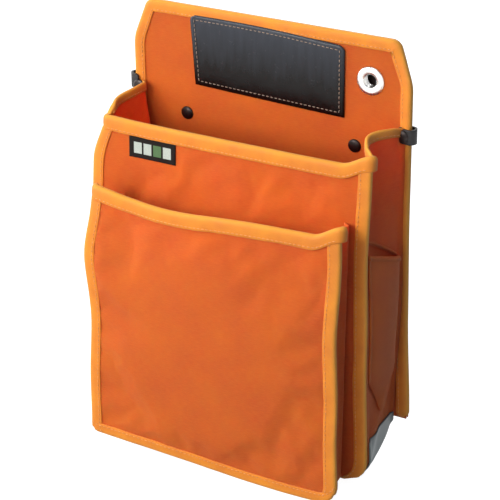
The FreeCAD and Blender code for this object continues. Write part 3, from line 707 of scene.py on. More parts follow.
class Recipe:
    """A material's node tree, with short calls for the nodes that the materials share."""

    def __init__(self, name, base, roughness, **settings):
        self.material = bpy.data.materials.new(name)
        self.material.use_nodes = True
        self.tree = self.material.node_tree
        self.shader = self.tree.nodes["Principled BSDF"]
        self.shader.inputs["Base Color"].default_value = base
        self.shader.inputs["Roughness"].default_value = roughness
        for socket, value in settings.items():
            self.shader.inputs[socket.replace("_", " ")].default_value = value
        self.bump = None

    def node(self, kind, **values):
        made = self.tree.nodes.new(kind)
        for key, value in values.items():
            setattr(made, key, value)
        return made

    def link(self, source, target):
        self.tree.links.new(source, target)

    def feed(self, socket, value):
        if isinstance(value, bpy.types.NodeSocket):
            self.link(value, socket)
        else:
            socket.default_value = value

    def math(self, operation, a, b=0.0, clamp=False):
        made = self.node("ShaderNodeMath", operation=operation, use_clamp=clamp)
        self.feed(made.inputs[0], a)
        self.feed(made.inputs[1], b)
        return made.outputs[0]

    def weave(self):
        """The flat-cloth coordinates, split: (vector, across, up)."""
        source = self.node("ShaderNodeAttribute", attribute_name="weave")
        parts = self.node("ShaderNodeSeparateXYZ")
        self.link(source.outputs["Vector"], parts.inputs[0])
        return source.outputs["Vector"], parts.outputs[0], parts.outputs[1]

    # the per-vertex share of the painted highlight along a tape's fold
    def rub(self):
        return self.node("ShaderNodeAttribute", attribute_name="rub").outputs["Fac"]

    def object_place(self):
        return self.node("ShaderNodeTexCoord").outputs["Object"]

    def stretch(self, vector, scale):
        made = self.node("ShaderNodeMapping")
        self.link(vector, made.inputs["Vector"])
        made.inputs["Scale"].default_value = scale
        return made.outputs[0]

    def noise(self, vector, scale, detail=3.0, roughness=0.5):
        made = self.node("ShaderNodeTexNoise")
        self.link(vector, made.inputs["Vector"])
        made.inputs["Scale"].default_value = scale
        made.inputs["Detail"].default_value = detail
        made.inputs["Roughness"].default_value = roughness
        return made.outputs["Fac"]

    def cells(self, vector, scale, feature="F1"):
        made = self.node("ShaderNodeTexVoronoi", feature=feature)
        self.link(vector, made.inputs["Vector"])
        made.inputs["Scale"].default_value = scale
        return made.outputs["Distance"]

    def spread(self, value, low, high, to_low=0.0, to_high=1.0):
        made = self.node("ShaderNodeMapRange")
        self.feed(made.inputs["Value"], value)
        made.inputs["From Min"].default_value = low
        made.inputs["From Max"].default_value = high
        made.inputs["To Min"].default_value = to_low
        made.inputs["To Max"].default_value = to_high
        return made.outputs["Result"]

    def blend(self, share, a, b, kind="MIX"):
        made = self.node("ShaderNodeMix", data_type="RGBA", blend_type=kind)
        self.feed(made.inputs["Factor"], share)
        self.feed(made.inputs[6], a)
        self.feed(made.inputs[7], b)
        return made.outputs[2]

    def relief(self, height, distance, strength=1.0):
        made = self.node("ShaderNodeBump")
        self.feed(made.inputs["Height"], height)
        made.inputs["Distance"].default_value = distance
        made.inputs["Strength"].default_value = strength
        if self.bump is not None:
            self.link(self.bump, made.inputs["Normal"])
        self.bump = made.outputs[0]
        self.link(self.bump, self.shader.inputs["Normal"])

    def paint(self, source):
        self.link(source, self.shader.inputs["Base Color"])

    def gloss(self, source, low, high):
        """Roughness from low to high, as the source goes through its middle range."""
        self.link(self.spread(source, 0.3, 0.7, low, high), self.shader.inputs["Roughness"])


def plain_weave(recipe, across, up, pitch):
    """Threads over and under each other: a height of 0 to 1."""
    a = recipe.math("ABSOLUTE", recipe.math("SINE", recipe.math("MULTIPLY", across, math.pi / pitch)))
    b = recipe.math("ABSOLUTE", recipe.math("SINE", recipe.math("MULTIPLY", up, math.pi / pitch)))
    column = recipe.math("FLOOR", recipe.math("DIVIDE", across, pitch))
    row = recipe.math("FLOOR", recipe.math("DIVIDE", up, pitch))
    turn = recipe.math("MODULO", recipe.math("ABSOLUTE", recipe.math("ADD", column, row)), 2.0)
    over = recipe.math("MULTIPLY", a, turn)
    under = recipe.math("MULTIPLY", b, recipe.math("SUBTRACT", 1.0, turn))
    crossing = recipe.math("ADD", over, under)
    gaps = recipe.math("MULTIPLY", a, b)
    return recipe.math("ADD", recipe.math("MULTIPLY", crossing, 0.6), recipe.math("MULTIPLY", gaps, 0.4))


def canvas_material():
    """Orange canvas in a plain weave, with thick threads and faded clouds; light comes a
    little way through it."""
    recipe = Recipe("canvas", colour(222, 100, 40), 0.85, Sheen_Weight=0.05, Sheen_Roughness=0.5,
                    Specular_IOR_Level=0.2, Subsurface_Weight=0.6, Subsurface_Scale=0.008,
                    Subsurface_Radius=(1.0, 0.4, 0.15))
    vector, across, up = recipe.weave()
    threads = plain_weave(recipe, across, up, 0.75 * MM)
    clouds = recipe.noise(vector, 28.0, 4.0)
    slubs = recipe.noise(recipe.stretch(vector, (220.0, 1500.0, 1.0)), 1.0, 2.0)
    fade = recipe.spread(clouds, 0.3, 0.7)
    base = recipe.blend(fade, colour(220, 85, 22), colour(236, 100, 24))
    base = recipe.blend(recipe.spread(slubs, 0.35, 0.75, 0.0, 0.35), base, colour(244, 122, 40))
    base = recipe.blend(recipe.spread(threads, 0.0, 0.6, 0.35, 0.0), base, colour(140, 46, 12))
    recipe.paint(base)
    recipe.gloss(clouds, 0.78, 0.92)
    recipe.relief(clouds, 0.5 * MM, 0.5)
    recipe.relief(threads, 0.16 * MM, 0.8)
    return recipe.material


def tape_material():
    """Yellow binding tape with slanting ribs, painted paler along its fold as a painted highlight where
    the fold catches the light.
    """
    recipe = Recipe("binding_tape", colour(226, 138, 60), 0.7, Sheen_Weight=0.12, Sheen_Roughness=0.4,
                    Specular_IOR_Level=0.3)
    vector, across, up = recipe.weave()
    diagonal = recipe.math("ADD", across, recipe.math("MULTIPLY", up, 0.6))
    ribs = recipe.math("SINE", recipe.math("MULTIPLY", diagonal, 2 * math.pi / (0.9 * MM)))
    ribs = recipe.spread(ribs, -1.0, 1.0)
    clouds = recipe.noise(vector, 60.0, 3.0)
    base = recipe.blend(recipe.spread(clouds, 0.3, 0.7), colour(222, 122, 30), colour(240, 144, 36))
    # painted highlight: the tape is tinted pale towards its fold
    fold_highlight_share = recipe.math("MULTIPLY", recipe.rub(), 0.8, clamp=True)
    base = recipe.blend(fold_highlight_share, base, colour(255, 180, 62))
    base = recipe.blend(recipe.spread(ribs, 0.0, 0.5, 0.3, 0.0), base, colour(150, 66, 24))
    recipe.paint(base)
    recipe.gloss(clouds, 0.62, 0.8)
    recipe.relief(clouds, 0.4 * MM, 0.5)
    recipe.relief(ribs, 0.08 * MM, 0.6)
    return recipe.material


def thread_material(name, base):
    """Twisted sewing thread."""
    recipe = Recipe(name, base, 0.55, Sheen_Weight=0.2)
    place = recipe.object_place()
    twist = recipe.noise(place, 900.0, 2.0)
    recipe.paint(recipe.blend(recipe.spread(twist, 0.3, 0.7, 0.0, 0.4), base, colour(120, 60, 24)))
    recipe.gloss(twist, 0.45, 0.65)
    recipe.relief(twist, 0.08 * MM, 0.6)
    return recipe.material


def leather_material(name, dark, light, low, high):
    """Creased leather with fine pores, whose roughness runs from low to high in clouds."""
    recipe = Recipe(name, dark, low, Specular_IOR_Level=0.4)
    place = recipe.object_place()
    pores = recipe.cells(place, 1100.0, "DISTANCE_TO_EDGE")
    creases = recipe.noise(place, 180.0, 5.0, 0.6)
    clouds = recipe.noise(place, 35.0, 3.0)
    recipe.paint(recipe.blend(recipe.spread(creases, 0.35, 0.75, 0.0, 1.0), dark, light))
    recipe.gloss(clouds, low, high)
    recipe.relief(clouds, 0.6 * MM, 0.4)
    recipe.relief(creases, 0.15 * MM, 0.5)
    recipe.relief(recipe.spread(pores, 0.0, 0.25), 0.05 * MM, 0.6)
    return recipe.material


def patch_material():
    """Glossy black leather, painted grey towards its top as a painted reflection of the bright room
    above it, broken by streaks.
    """
    recipe = Recipe("patch_leather", colour(20, 18, 18), 0.2, Specular_IOR_Level=0.22)
    up = recipe.weave()[2]
    low, high = low_of("front_patch").z - FOOT_Z, high_of("front_patch").z - FOOT_Z
    place = recipe.object_place()
    creases = recipe.noise(place, 180.0, 5.0, 0.6)
    pores = recipe.cells(place, 1100.0, "DISTANCE_TO_EDGE")
    streaks = recipe.noise(recipe.stretch(place, (260.0, 1.0, 40.0)), 1.0, 3.0)
    streaked = recipe.spread(streaks, 0.3, 0.7, -0.08, 0.08)
    # painted reflection: near black at the patch's foot, grey at its top, with streaks through it
    wear_and_painted_reflection = recipe.math("ADD", recipe.spread(up, low, high), streaked)
    base = recipe.blend(recipe.spread(wear_and_painted_reflection, 0.35, 1.05), colour(14, 9, 7), colour(56, 58, 64))
    recipe.paint(base)
    recipe.gloss(creases, 0.16, 0.3)
    recipe.relief(creases, 0.15 * MM, 0.5)
    recipe.relief(recipe.spread(pores, 0.0, 0.25), 0.05 * MM, 0.6)
    return recipe.material


def vinyl_material():
    """Dark grey vinyl with a pebbled face and paler clouds."""
    recipe = Recipe("bottom_vinyl", colour(96, 100, 98), 0.5, Specular_IOR_Level=0.5)
    place = recipe.object_place()
    pebbles = recipe.cells(place, 900.0)
    clouds = recipe.noise(place, 45.0, 4.0)
    base = recipe.blend(recipe.spread(clouds, 0.3, 0.7), colour(84, 90, 88), colour(116, 122, 118))
    recipe.paint(base)
    recipe.gloss(clouds, 0.4, 0.6)
    recipe.relief(clouds, 0.5 * MM, 0.5)
    recipe.relief(pebbles, 0.1 * MM, 0.6)
    return recipe.material


def metal_material(name, bright, wear_and_painted_reflection, low, high):
    """Scratched metal with tarnished spots; roughness runs from low to high."""
    recipe = Recipe(name, bright, low, Metallic=1.0)
    place = recipe.object_place()
    scratches = recipe.noise(recipe.stretch(place, (3000.0, 400.0, 400.0)), 1.0, 2.0)
    tarnish = recipe.noise(place, 250.0, 4.0)
    recipe.paint(recipe.blend(recipe.spread(tarnish, 0.45, 0.75), bright, wear_and_painted_reflection))
    recipe.gloss(tarnish, low, high)
    recipe.relief(scratches, 0.02 * MM, 0.4)
    return recipe.material


def board_material():
    """The fibrous board of the stiffener, which nobody sees."""
    recipe = Recipe("stiffener_board", colour(120, 96, 70), 0.85)
    place = recipe.object_place()
    fibres = recipe.noise(recipe.stretch(place, (900.0, 900.0, 120.0)), 1.0, 4.0)
    recipe.paint(recipe.blend(fibres, colour(104, 82, 58), colour(146, 120, 90)))
    recipe.relief(fibres, 0.1 * MM, 0.5)
    return recipe.material


PALE, GREEN = colour(206, 212, 198), colour(96, 128, 84)


def tag_material():
    """A dark woven label with a row of plain pale blocks: no lettering."""
    recipe = Recipe("tag_weave", colour(40, 34, 28), 0.8, Specular_IOR_Level=0.15)
    _, across, up = recipe.weave()
    threads = plain_weave(recipe, across, up, 0.35 * MM)

    def band(value, low, high):
        above = recipe.math("GREATER_THAN", value, low)
        return recipe.math("MULTIPLY", above, recipe.math("LESS_THAN", value, high))

    width, height = size("woven_tag").x, size("woven_tag").z
    row = band(up, 0.22 * height, 0.76 * height)
    base = colour(30, 22, 18)
    for place, shade in ((0.1, PALE), (0.31, PALE), (0.52, GREEN), (0.73, PALE)):
        block = recipe.math("MULTIPLY", row, band(across, place * width, (place + 0.17) * width))
        base = recipe.blend(block, base, shade)
    base = recipe.blend(recipe.spread(threads, 0.0, 0.6, 0.5, 0.0), base, colour(20, 14, 10))
    recipe.paint(base)
    recipe.relief(threads, 0.1 * MM, 0.8)
    return recipe.material


CANVAS = canvas_material()
BINDING = tape_material()
THREAD_ORANGE = thread_material("thread_orange", colour(236, 150, 66))
THREAD_PALE = thread_material("thread_pale", colour(150, 128, 108))
PATCH = patch_material()
LEATHER = leather_material("band_leather", colour(22, 20, 20), colour(44, 40, 38), 0.45, 0.65)
VINYL = vinyl_material()
SILVER = metal_material("eyelet_metal", colour(232, 230, 226), colour(196, 192, 186), 0.18, 0.34)
DARK_METAL = metal_material("rivet_metal", colour(58, 52, 50), colour(30, 26, 26), 0.3, 0.5)
BOARD = board_material()
TAG = tag_material()


# ---------------------------------------------------------------- how pieces are held

MAIN_TOP = main_place(0.0, MAIN_MOUTH)
MAIN_BLEND = ("back", "main_front",
              (0.0, BACK_Y - HALF_BACK - 1.5 * MM, 0.0), (0.0, MAIN_TOP[1] + 5.0 * MM, 0.0))


def pocket_blend():
    """The two bodies, and a line between the flanges of the front pocket's gusset, square to its two
    leaning walls, for a blend between them."""
    lean = (MAIN_LEAN + POCKET_LEAN) / 2
    way = np.array((0.0, -math.cos(lean), math.sin(lean)))
    rear, front = (pocket_gusset_wall(1)(share, POCKET_MOUTH) for share in (0.16, 0.84))
    return "main_front", "pocket_front", tuple(rear), tuple(rear + ((front - rear) @ way) * way)


POCKET_BLEND = pocket_blend()


def hold(piece, holder):
    """Ride one body; for a blend between two, only bake the piece's placement into its mesh, as no blend
    is set up.
    """
    if isinstance(holder, str):
        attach(piece, holder)
    else:
        first, second, start, end = holder
        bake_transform(piece)
        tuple(start)
        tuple(end)


def finish_piece(piece, material, holder, nodes=()):
    piece.data.materials.append(material)
    hold(piece, holder)
    if nodes:
        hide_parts(*nodes)
    return piece


def bind(names, place, path, room, holder, nodes, seed, width=TAPE_WIDTH, lift=0.0, sewn=None):
    """Sew binding tape over an edge; names are the tape's and its stitches', and sewn is the
    stitches' own path where it isn't the tape's."""
    piece = tape(names[0], place, path, room, width, lift, seed)
    finish_piece(piece, BINDING, holder, nodes)
    piece = tape_stitches(names[1], place, sewn or path, room, width, lift)
    finish_piece(piece, THREAD_ORANGE, holder)


# ---------------------------------------------------------------- back panel

PROUD = 2.0 * MM


def back_corners():
    """The back panel's outline from its left foot round to its right foot.  The tape's fold
    stands a little above the panel."""
    foot, shoulder, top = BACK_FOOT - FOOT_Z, SHOULDER - FOOT_Z, BACK_TOP - FOOT_Z + PROUD
    return [
        (-BACK_HALF, foot), (-BACK_HALF, shoulder), (-TOP_HALF, top),
        (TOP_HALF, top), (BACK_HALF, shoulder), (BACK_HALF, foot),
    ]


def back_half_width(z):
    """Half the back panel's width at a height."""
    shoulder, top = SHOULDER - FOOT_Z, BACK_TOP - FOOT_Z
    share = np.clip((z - shoulder) / (top - shoulder), 0, 1)
    return BACK_HALF + (TOP_HALF - BACK_HALF) * share


def back_path(inset):
    radii = (30 * MM, 8 * MM, 8 * MM, 30 * MM)
    return rounded_outline(back_corners(), radii, inset)


def make_back():
    edge = 1.3 * MM
    foot = BACK_FOOT - FOOT_Z
    top = BACK_TOP - FOOT_Z
    s = np.linspace(-1, 1, 71)[None, :]
    z = np.linspace(foot, top, 91)[:, None]
    corner = smooth((z - (top - 5 * MM)) / (5 * MM)) * 4.0 * MM
    x = s * (back_half_width(z) - edge - corner)
    for word, face in (("front", 1), ("rear", -1)):
        name = f"back_canvas_{word}"
        piece = on_wall(name, back_place, x, z, face * (HALF_BACK - CLOTH / 2))
        pierce(piece, tuple(EYELET_CENTRE), EYELET_HOLE + 1.0 * MM)
        finish_piece(piece, CANVAS, "back", [f"back_panel_{word}"])
    bind(("back_tape", "back_tape_stitches"), back_place, back_path, 2 * HALF_BACK, "back",
         ["back_binding"], 11, width=8.5 * MM)


def patch_spot(x, z):
    """Where a spot of the patch comes to lie: it is sewn on a little askew, its left end is
    higher and slanted, and its upper edge is bowed."""
    low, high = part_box("front_patch")
    left_share = (high.x - x) / (high.x - low.x)
    up_share = (z + FOOT_Z - low.z) / (high.z - low.z)
    raised = 3.0 * MM * left_share - 1.0 * MM * (1 - left_share)
    bowed = 1.5 * MM * np.sin(math.pi * left_share) * up_share
    return x - 3.6 * MM * left_share * up_share, z + raised + bowed


def make_patch():
    """The glossy patch, a little crowned, sewn round its edge."""
    low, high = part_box("front_patch")
    thick = high.y - low.y
    half, foot, top = high.x, low.z - FOOT_Z, high.z - FOOT_Z
    s, t = shares(31, 61, first=-1)
    radius = 4.0 * MM
    drop = np.clip(t * (top - foot) - (top - foot - radius), 0, radius)
    shrink = radius - np.sqrt(np.maximum(radius ** 2 - drop ** 2, 0))
    x, z = patch_spot(s * (half - shrink), foot + t * (top - foot) + 0 * s)
    crown = 0.7 * MM * (1 - s ** 6) * (1 - (2 * t - 1) ** 6)
    lie = HALF_BACK + thick / 2 + crown + 0.25 * MM * ripple(x, z, 21, 0.02)
    points = back_place(x, z, lie)
    piece = cloth_sheet("front_patch_leather", points, flat_spots(x, z), thick)
    finish_piece(piece, PATCH, "back", ["front_patch"])
    inset = 3.2 * MM
    corners = [
        (-half, (foot + top) / 2), (-half, top), (half, top), (half, foot), (-half, foot),
        (-half, (foot + top) / 2),
    ]
    u, v = patch_spot(*rounded_outline(corners, (radius,) * 4, inset))
    line = sewn_line(back_place, u, v, HALF_BACK + thick + 0.45 * MM)
    finish_piece(stitches("front_patch_stitches", [line]), THREAD_PALE, "back")


def make_belt_band():
    """Leather band behind the back: flat where it is sewn and riveted, open for the belt."""
    low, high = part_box("belt_band")
    half, foot, top = high.x, low.z - FOOT_Z, high.z - FOOT_Z
    thick = 2.2 * MM
    room = high.y - BACK_Y - HALF_BACK - thick
    s, t = shares(61, 41, first=-1)
    z = foot + t * (top - foot)
    flat, ramp = 9.2 * MM, 7.5 * MM
    open_share = smooth((z - foot - flat) / ramp) * smooth((top - flat - z) / ramp)
    sag = -1.0 * MM * (1 - s ** 2) * open_share
    stand = HALF_BACK + thick / 2 + room * open_share + sag
    points = back_place(s * half, z + 0 * s, -stand)
    piece = cloth_sheet("belt_band_leather", points, flat_spots(s * half, z), thick)
    finish_piece(piece, LEATHER, "back", ["belt_band"])
    lines = []
    for height in (foot + 3 * MM, top - 3 * MM, top - 6.5 * MM):
        u = np.linspace(-half + 4 * MM, half - 4 * MM, 40)
        lines.append(sewn_line(back_place, u, np.full_like(u, height), -(HALF_BACK + thick)))
    finish_piece(stitches("belt_band_stitches", lines), THREAD_PALE, "back")


STRAP_THICK = 1.4 * MM
STRAP_TURN = HALF_BACK + TAPE + STRAP_THICK / 2 + 0.3 * MM
STRAP_OVER = 0.8 * MM


def strap_run(tip_x):
    """Half of the strap as (x, out) spots: behind the back, round its bound edge, and a short
    way over the front, where the side rivet holds it."""
    flat = HALF_BACK + STRAP_THICK / 2 + 0.05 * MM
    turn_x = BACK_HALF - 1.0 * MM
    spots = []
    for x in np.linspace(0.0, turn_x, 60):
        lifted = float(smooth((x - turn_x) / (5 * MM) + 1.8))
        spots.append((x, -(flat + (STRAP_TURN - flat) * lifted)))
    for angle in np.linspace(-math.pi / 2, math.pi / 2, 13)[1:]:
        spots.append((turn_x + STRAP_TURN * math.cos(angle), STRAP_TURN * math.sin(angle)))
    for share in np.linspace(0.0, 1.0, 14)[1:]:
        spots.append((turn_x + (tip_x - turn_x) * share, STRAP_TURN + STRAP_OVER * share))
    return spots


def make_rear_strap():
    """The cross strap behind the back, whose ends turn over the back's bound edges."""
    low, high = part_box("rear_strap")
    middle, tall = (low.z + high.z) / 2 - FOOT_Z, (high.z - low.z) / 2
    tip = low_of("side_rivet_right").x + 0.5 * MM
    run = [(-x, out) for x, out in strap_run(tip + 5.0 * MM)[:0:-1]] + strap_run(tip)
    x, out = np.array(run).T
    along = run_along(np.array(run))
    past = np.clip(1 - np.minimum(along, along[-1] - along) / (2.5 * MM), 0.0, 0.9)
    near_end = smooth((np.abs(x) - 90 * MM) / (15 * MM))
    reach = tall * (1 - 0.26 * near_end) - 2.5 * MM * (1 - np.sqrt(1 - past ** 2))
    lean = 3.0 * MM * smooth((-x - 0.04) / 0.06)
    t = np.linspace(-1, 1, 13)[:, None]
    z = middle + lean + t * reach
    points = back_place(x + 0 * t, z, out + 0 * t)
    piece = cloth_sheet("rear_strap_leather", points, flat_spots(along, z), STRAP_THICK)
    finish_piece(piece, LEATHER, "back", ["rear_strap"])


# ---------------------------------------------------------------- metal

def pierce(piece, centre, radius):
    """Cut a round hole through a piece along Y, as the eyelet's punch does."""
    ring = [(0.0, -20 * MM), (radius, -20 * MM), (radius, 20 * MM), (0.0, 20 * MM)]
    punch = turned("punch", centre, (0, 1, 0), ring, 48)
    cut = piece.modifiers.new("hole", "BOOLEAN")
    cut.operation = "DIFFERENCE"
    cut.solver = "EXACT"
    cut.object = punch
    bpy.context.view_layer.update()
    shown = piece.evaluated_get(bpy.context.evaluated_depsgraph_get())
    piece.data = bpy.data.meshes.new_from_object(shown)
    piece.modifiers.clear()
    bpy.data.objects.remove(punch)


EYELET_LOW, EYELET_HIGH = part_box("eyelet")
EYELET_CENTRE = (EYELET_LOW + EYELET_HIGH) / 2
EYELET_RIM = size("eyelet").x / 2
EYELET_HOLE = 0.45 * EYELET_RIM


def make_eyelet():
    """A rolled eyelet, whose barrel passes through the panel, and its washer behind."""
    hole, rim = EYELET_HOLE, EYELET_RIM
    x, z = EYELET_CENTRE.x, EYELET_CENTRE.z
    stand = float(back_form(np.array(x), np.array(z - FOOT_Z)))
    face = BACK_Y - HALF_BACK - stand
    middle, half = (hole + rim) / 2, (rim - hole) / 2
    height = 1.5 * MM
    roll = [
        (middle - half * math.cos(a), height * math.sin(a) ** 0.8)
        for a in np.linspace(0.0, math.pi, 15)
    ]
    barrel = 2 * HALF_BACK + stand + 0.6 * MM
    inside = [
        (rim - 0.6 * MM, 0.0), (hole + 0.7 * MM, 0.0), (hole + 0.7 * MM, -barrel), (hole, -barrel),
    ]
    profile = roll + inside + [roll[0]]
    piece = turned("eyelet_ring", (x, face, z), (0, -1, 0), profile, 64)
    finish_piece(piece, SILVER, "back", ["eyelet"])
    flange = [
        (hole + 0.75 * MM, 0.0), (rim - 0.6 * MM, 0.0), (rim - 0.5 * MM, 0.5 * MM),
        (rim - 1.3 * MM, 1.0 * MM), (hole + 2.4 * MM, 1.0 * MM), (hole + 1.6 * MM, 1.5 * MM),
        (hole + 0.75 * MM, 1.4 * MM), (hole + 0.75 * MM, 0.0),
    ]
    piece = turned("eyelet_washer_ring", (x, BACK_Y + HALF_BACK, z), (0, 1, 0), flange, 64)
    finish_piece(piece, SILVER, "back", ["eyelet_washer"])


def make_rivets():
    """Domed caps in front and burrs behind, for the belt band and the strap's ends."""
    for kind in ("band", "side"):
        for word, _ in SIDES:
            node = f"{kind}_rivet_{word}"
            low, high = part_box(node)
            radius = (high.x - low.x) / 2
            centre_x, centre_z = (low.x + high.x) / 2, (low.z + high.z) / 2
            dome = [
                (radius * math.sin(a), 0.5 * MM + 1.4 * MM * math.cos(a))
                for a in np.linspace(0.02, math.pi / 2, 9)
            ]
            profile = [(0.0, dome[0][1])] + dome
            profile += [(radius, 0.1 * MM), (radius * 0.96, 0.0), (0.0, 0.0)]
            face = low.y + 1.9 * MM
            if kind == "side":
                face = BACK_Y - STRAP_TURN - STRAP_OVER * 0.6 - STRAP_THICK / 2
            face -= float(back_form(np.array(centre_x), np.array(centre_z - FOOT_Z)))
            piece = turned(f"{node}_cap", (centre_x, face, centre_z), (0, -1, 0), profile, 32)
            finish_piece(piece, DARK_METAL, "back", [node])
            low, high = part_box(f"{node}_burr")
            burr = (high.x - low.x) / 2
            back_y = high.y - 1.0 * MM
            ring = [
                (0.0, 1.25 * MM), (1.3 * MM, 1.15 * MM), (1.6 * MM, 0.8 * MM), (burr * 0.8, 0.85 * MM),
                (burr, 0.45 * MM), (burr, 0.0), (0.0, 0.0),
            ]
            piece = turned(f"{node}_burr_ring", (centre_x, back_y, centre_z), (0, 1, 0), ring, 32)
            finish_piece(piece, DARK_METAL, "back", [f"{node}_burr"])


# ---------------------------------------------------------------- front walls

def upright_path(edge, side, foot, top):
    """An upright edge, from its foot to its top."""
    heights = np.linspace(foot, top, 60)
    return lambda inset: (side * (edge(heights, side) - inset), heights)


def level_path(line, left, right, inward=-1, count=90):
    """A level edge whose height is line(x); inward is -1 for a top edge, 1 for a foot."""
    across = np.linspace(left, right, count)
    heights = line(across)
    return lambda inset: (across, heights + inward * inset)


EDGE_ROOM = 2 * CLOTH      # inside an upright edge's tape: the wall and a gusset's flange
MOUTH_ROOM = 3.2 * CLOTH   # inside a mouth's tape: a hem too
MOUTH_TAPE = 10 * MM
MOUTH_HEM = 12 * MM        # the hem is stiff this far below a mouth
FRONT_BODY = {"main": "main_front", "pocket": "pocket_front"}


def bind_sides(front, place, outline, feet, half, mouth_line, seed):
    """Bind a front wall's upright edges from their feet, left and right, to its mouth."""
    for (word, side), foot in zip(SIDES, feet):
        path = upright_path(outline, side, foot, float(mouth_line(side * half)) - 4 * MM)
        names = (f"{front}_edge_tape_{word}", f"{front}_edge_stitches_{word}")
        bind(names, place, path, EDGE_ROOM, FRONT_BODY[front], [f"{front}_edge_binding_{word}"],
             seed + side, lift=-CLOTH / 2)


def bind_mouth(front, place, half, mouth_line, seed):
    """Bind a front wall's mouth, with the tape's ends turned back round its corners."""
    corner = half - 2.5 * MM
    reach = corner + 7.0 * MM

    def line(x):
        return mouth_line(np.clip(x, -half, half)) + 1.0 * MM

    bind((f"{front}_mouth_tape", f"{front}_mouth_stitches"), wrapped(place, corner, 3.0 * MM),
         level_path(line, -reach, reach, count=120), MOUTH_ROOM, FRONT_BODY[front],
         [f"{front}_mouth_binding"], seed, MOUTH_TAPE, -0.6 * CLOTH,
         sewn=level_path(line, -corner, corner, count=120))


def make_main_front():
    """The main pocket's front, held still at its rim, at the front pocket's seams and behind
    the tag while it settles."""
    u, v = wall_grid(66, 61, lambda z: -main_edge(z, -1) + MM, lambda z: main_edge(z, 1) - MM,
                     main_foot_line, lambda x: main_mouth_line(x) - 1.2 * MM)
    low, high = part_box("woven_tag")
    under_tag = (u < high.x + 5 * MM) & (v > low.z - FOOT_Z - 5 * MM)
    sewn = (np.abs(u) > POCKET_GUSSET_X - 8 * MM) & (v < POCKET_MOUTH + 8 * MM)
    rim = (np.abs(u) > MAIN_HALF - 10 * MM) | (v < 8 * MM) | (v > main_mouth_line(u) - MOUTH_HEM)
    piece = on_wall("main_front_canvas", main_place, u, v, held=under_tag | sewn | rim)
    finish_piece(piece, CANVAS, "main_front", ["main_front_panel"])
    feet = [float(main_foot_line(side * MAIN_HALF)) + 0.3 * MM for _, side in SIDES]
    bind_sides("main", main_place, main_edge, feet, MAIN_HALF, main_mouth_line, 30)
    bind_mouth("main", main_place, MAIN_HALF, main_mouth_line, 33)


def make_tag():
    """The small woven tag below the main mouth."""
    low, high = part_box("woven_tag")
    foot, top = low.z - FOOT_Z, high.z - FOOT_Z
    s, t = shares(15, 31)
    x = low.x + s * (high.x - low.x) + 0 * t
    z = foot + t * (top - foot) + 0 * s
    thick = 0.5 * MM
    lie = CLOTH / 2 + thick / 2 + 0.1 * MM + 0.25 * MM * np.sin(math.pi * s) * t
    points = main_place(x, z, lie)
    piece = cloth_sheet("woven_tag_label", points, flat_spots(x - low.x, z - foot), thick)
    finish_piece(piece, TAG, "main_front", ["woven_tag"])


def make_pocket():
    """The front pocket's front, held still all round its rim while it settles."""
    u, v = wall_grid(56, 61, lambda z: -pocket_outline(z, -1) + MM, lambda z: pocket_outline(z, 1) - MM,
                     lambda x: pocket_foot_line(x) + MM, lambda x: pocket_mouth_line(x) - 1.2 * MM)
    rim = (u > pocket_edge(v, 1) - 10 * MM) | (u < 10 * MM - pocket_edge(v, -1))
    rim |= (v < pocket_foot_line(u) + 10 * MM) | (v > pocket_mouth_line(u) - MOUTH_HEM)
    piece = on_wall("pocket_front_canvas", pocket_place, u, v, held=rim)
    finish_piece(piece, CANVAS, "pocket_front", ["pocket_front_panel"])
    ends = [side * pocket_edge(0.0, side) for _, side in SIDES]
    feet = [float(pocket_foot_line(end - side * 3 * MM)) for end, (_, side) in zip(ends, SIDES)]
    bind_sides("pocket", pocket_place, pocket_outline, feet, POCKET_HALF, pocket_mouth_line, 40)
    path = level_path(pocket_foot_line, ends[0] + 1.2 * MM, ends[1] - 1.2 * MM, inward=1)
    bind(("pocket_bottom_tape", "pocket_bottom_stitches"), pocket_place, path, EDGE_ROOM,
         "pocket_front", ["pocket_bottom_binding"], 43, width=8 * MM, lift=-CLOTH / 2)
    bind_mouth("pocket", pocket_place, POCKET_HALF, pocket_mouth_line, 44)


def make_pocket_floor():
    """Canvas strip that closes the front pocket's bottom, riding the main front."""
    rear, front = MAIN_FOOT[1], POCKET_FOOT[1]
    s, t = shares(12, 41, first=-1)
    x = s * (POCKET_GUSSET_X - 0.5 * MM) + 0 * t
    y = rear - CLOTH + (front + 2.6 * MM - rear) * t + 0 * s
    sag = -1.5 * MM * np.sin(math.pi * t) * (1 - 0.5 * s ** 2)
    z = FOOT_Z + 1.2 * MM + sag + pocket_foot_line(x) * t
    points = np.stack((x, y, z), axis=-1)
    piece = cloth_sheet("pocket_floor_canvas", points, flat_spots(x, y), CLOTH)
    finish_piece(piece, CANVAS, "main_front", ["pocket_floor"])


# ---------------------------------------------------------------- gussets

def gusset_grid(foot, top, rows=56, columns=27):
    """(depth, height) grids that fill a gusset between its foot and its top edge."""
    depth, t = shares(rows, columns)
    low, high = foot(depth), top(depth)
    return depth + 0 * t, low + (high - low) * t


def gusset_sheet(name, place, depth, z, held):
    """A gusset's settled sheet, and the length of its longest row."""
    points = settle(place(depth, z), held)
    along = np.stack([run_along(row) for row in points])
    return cloth_sheet(name, points, flat_spots(along, z), CLOTH), float(along[:, -1].max())


def gusset_top_path(top, side, first, last):
    depth = np.linspace(first, last, 40)
    return lambda inset: (depth, top(depth, side) - inset)


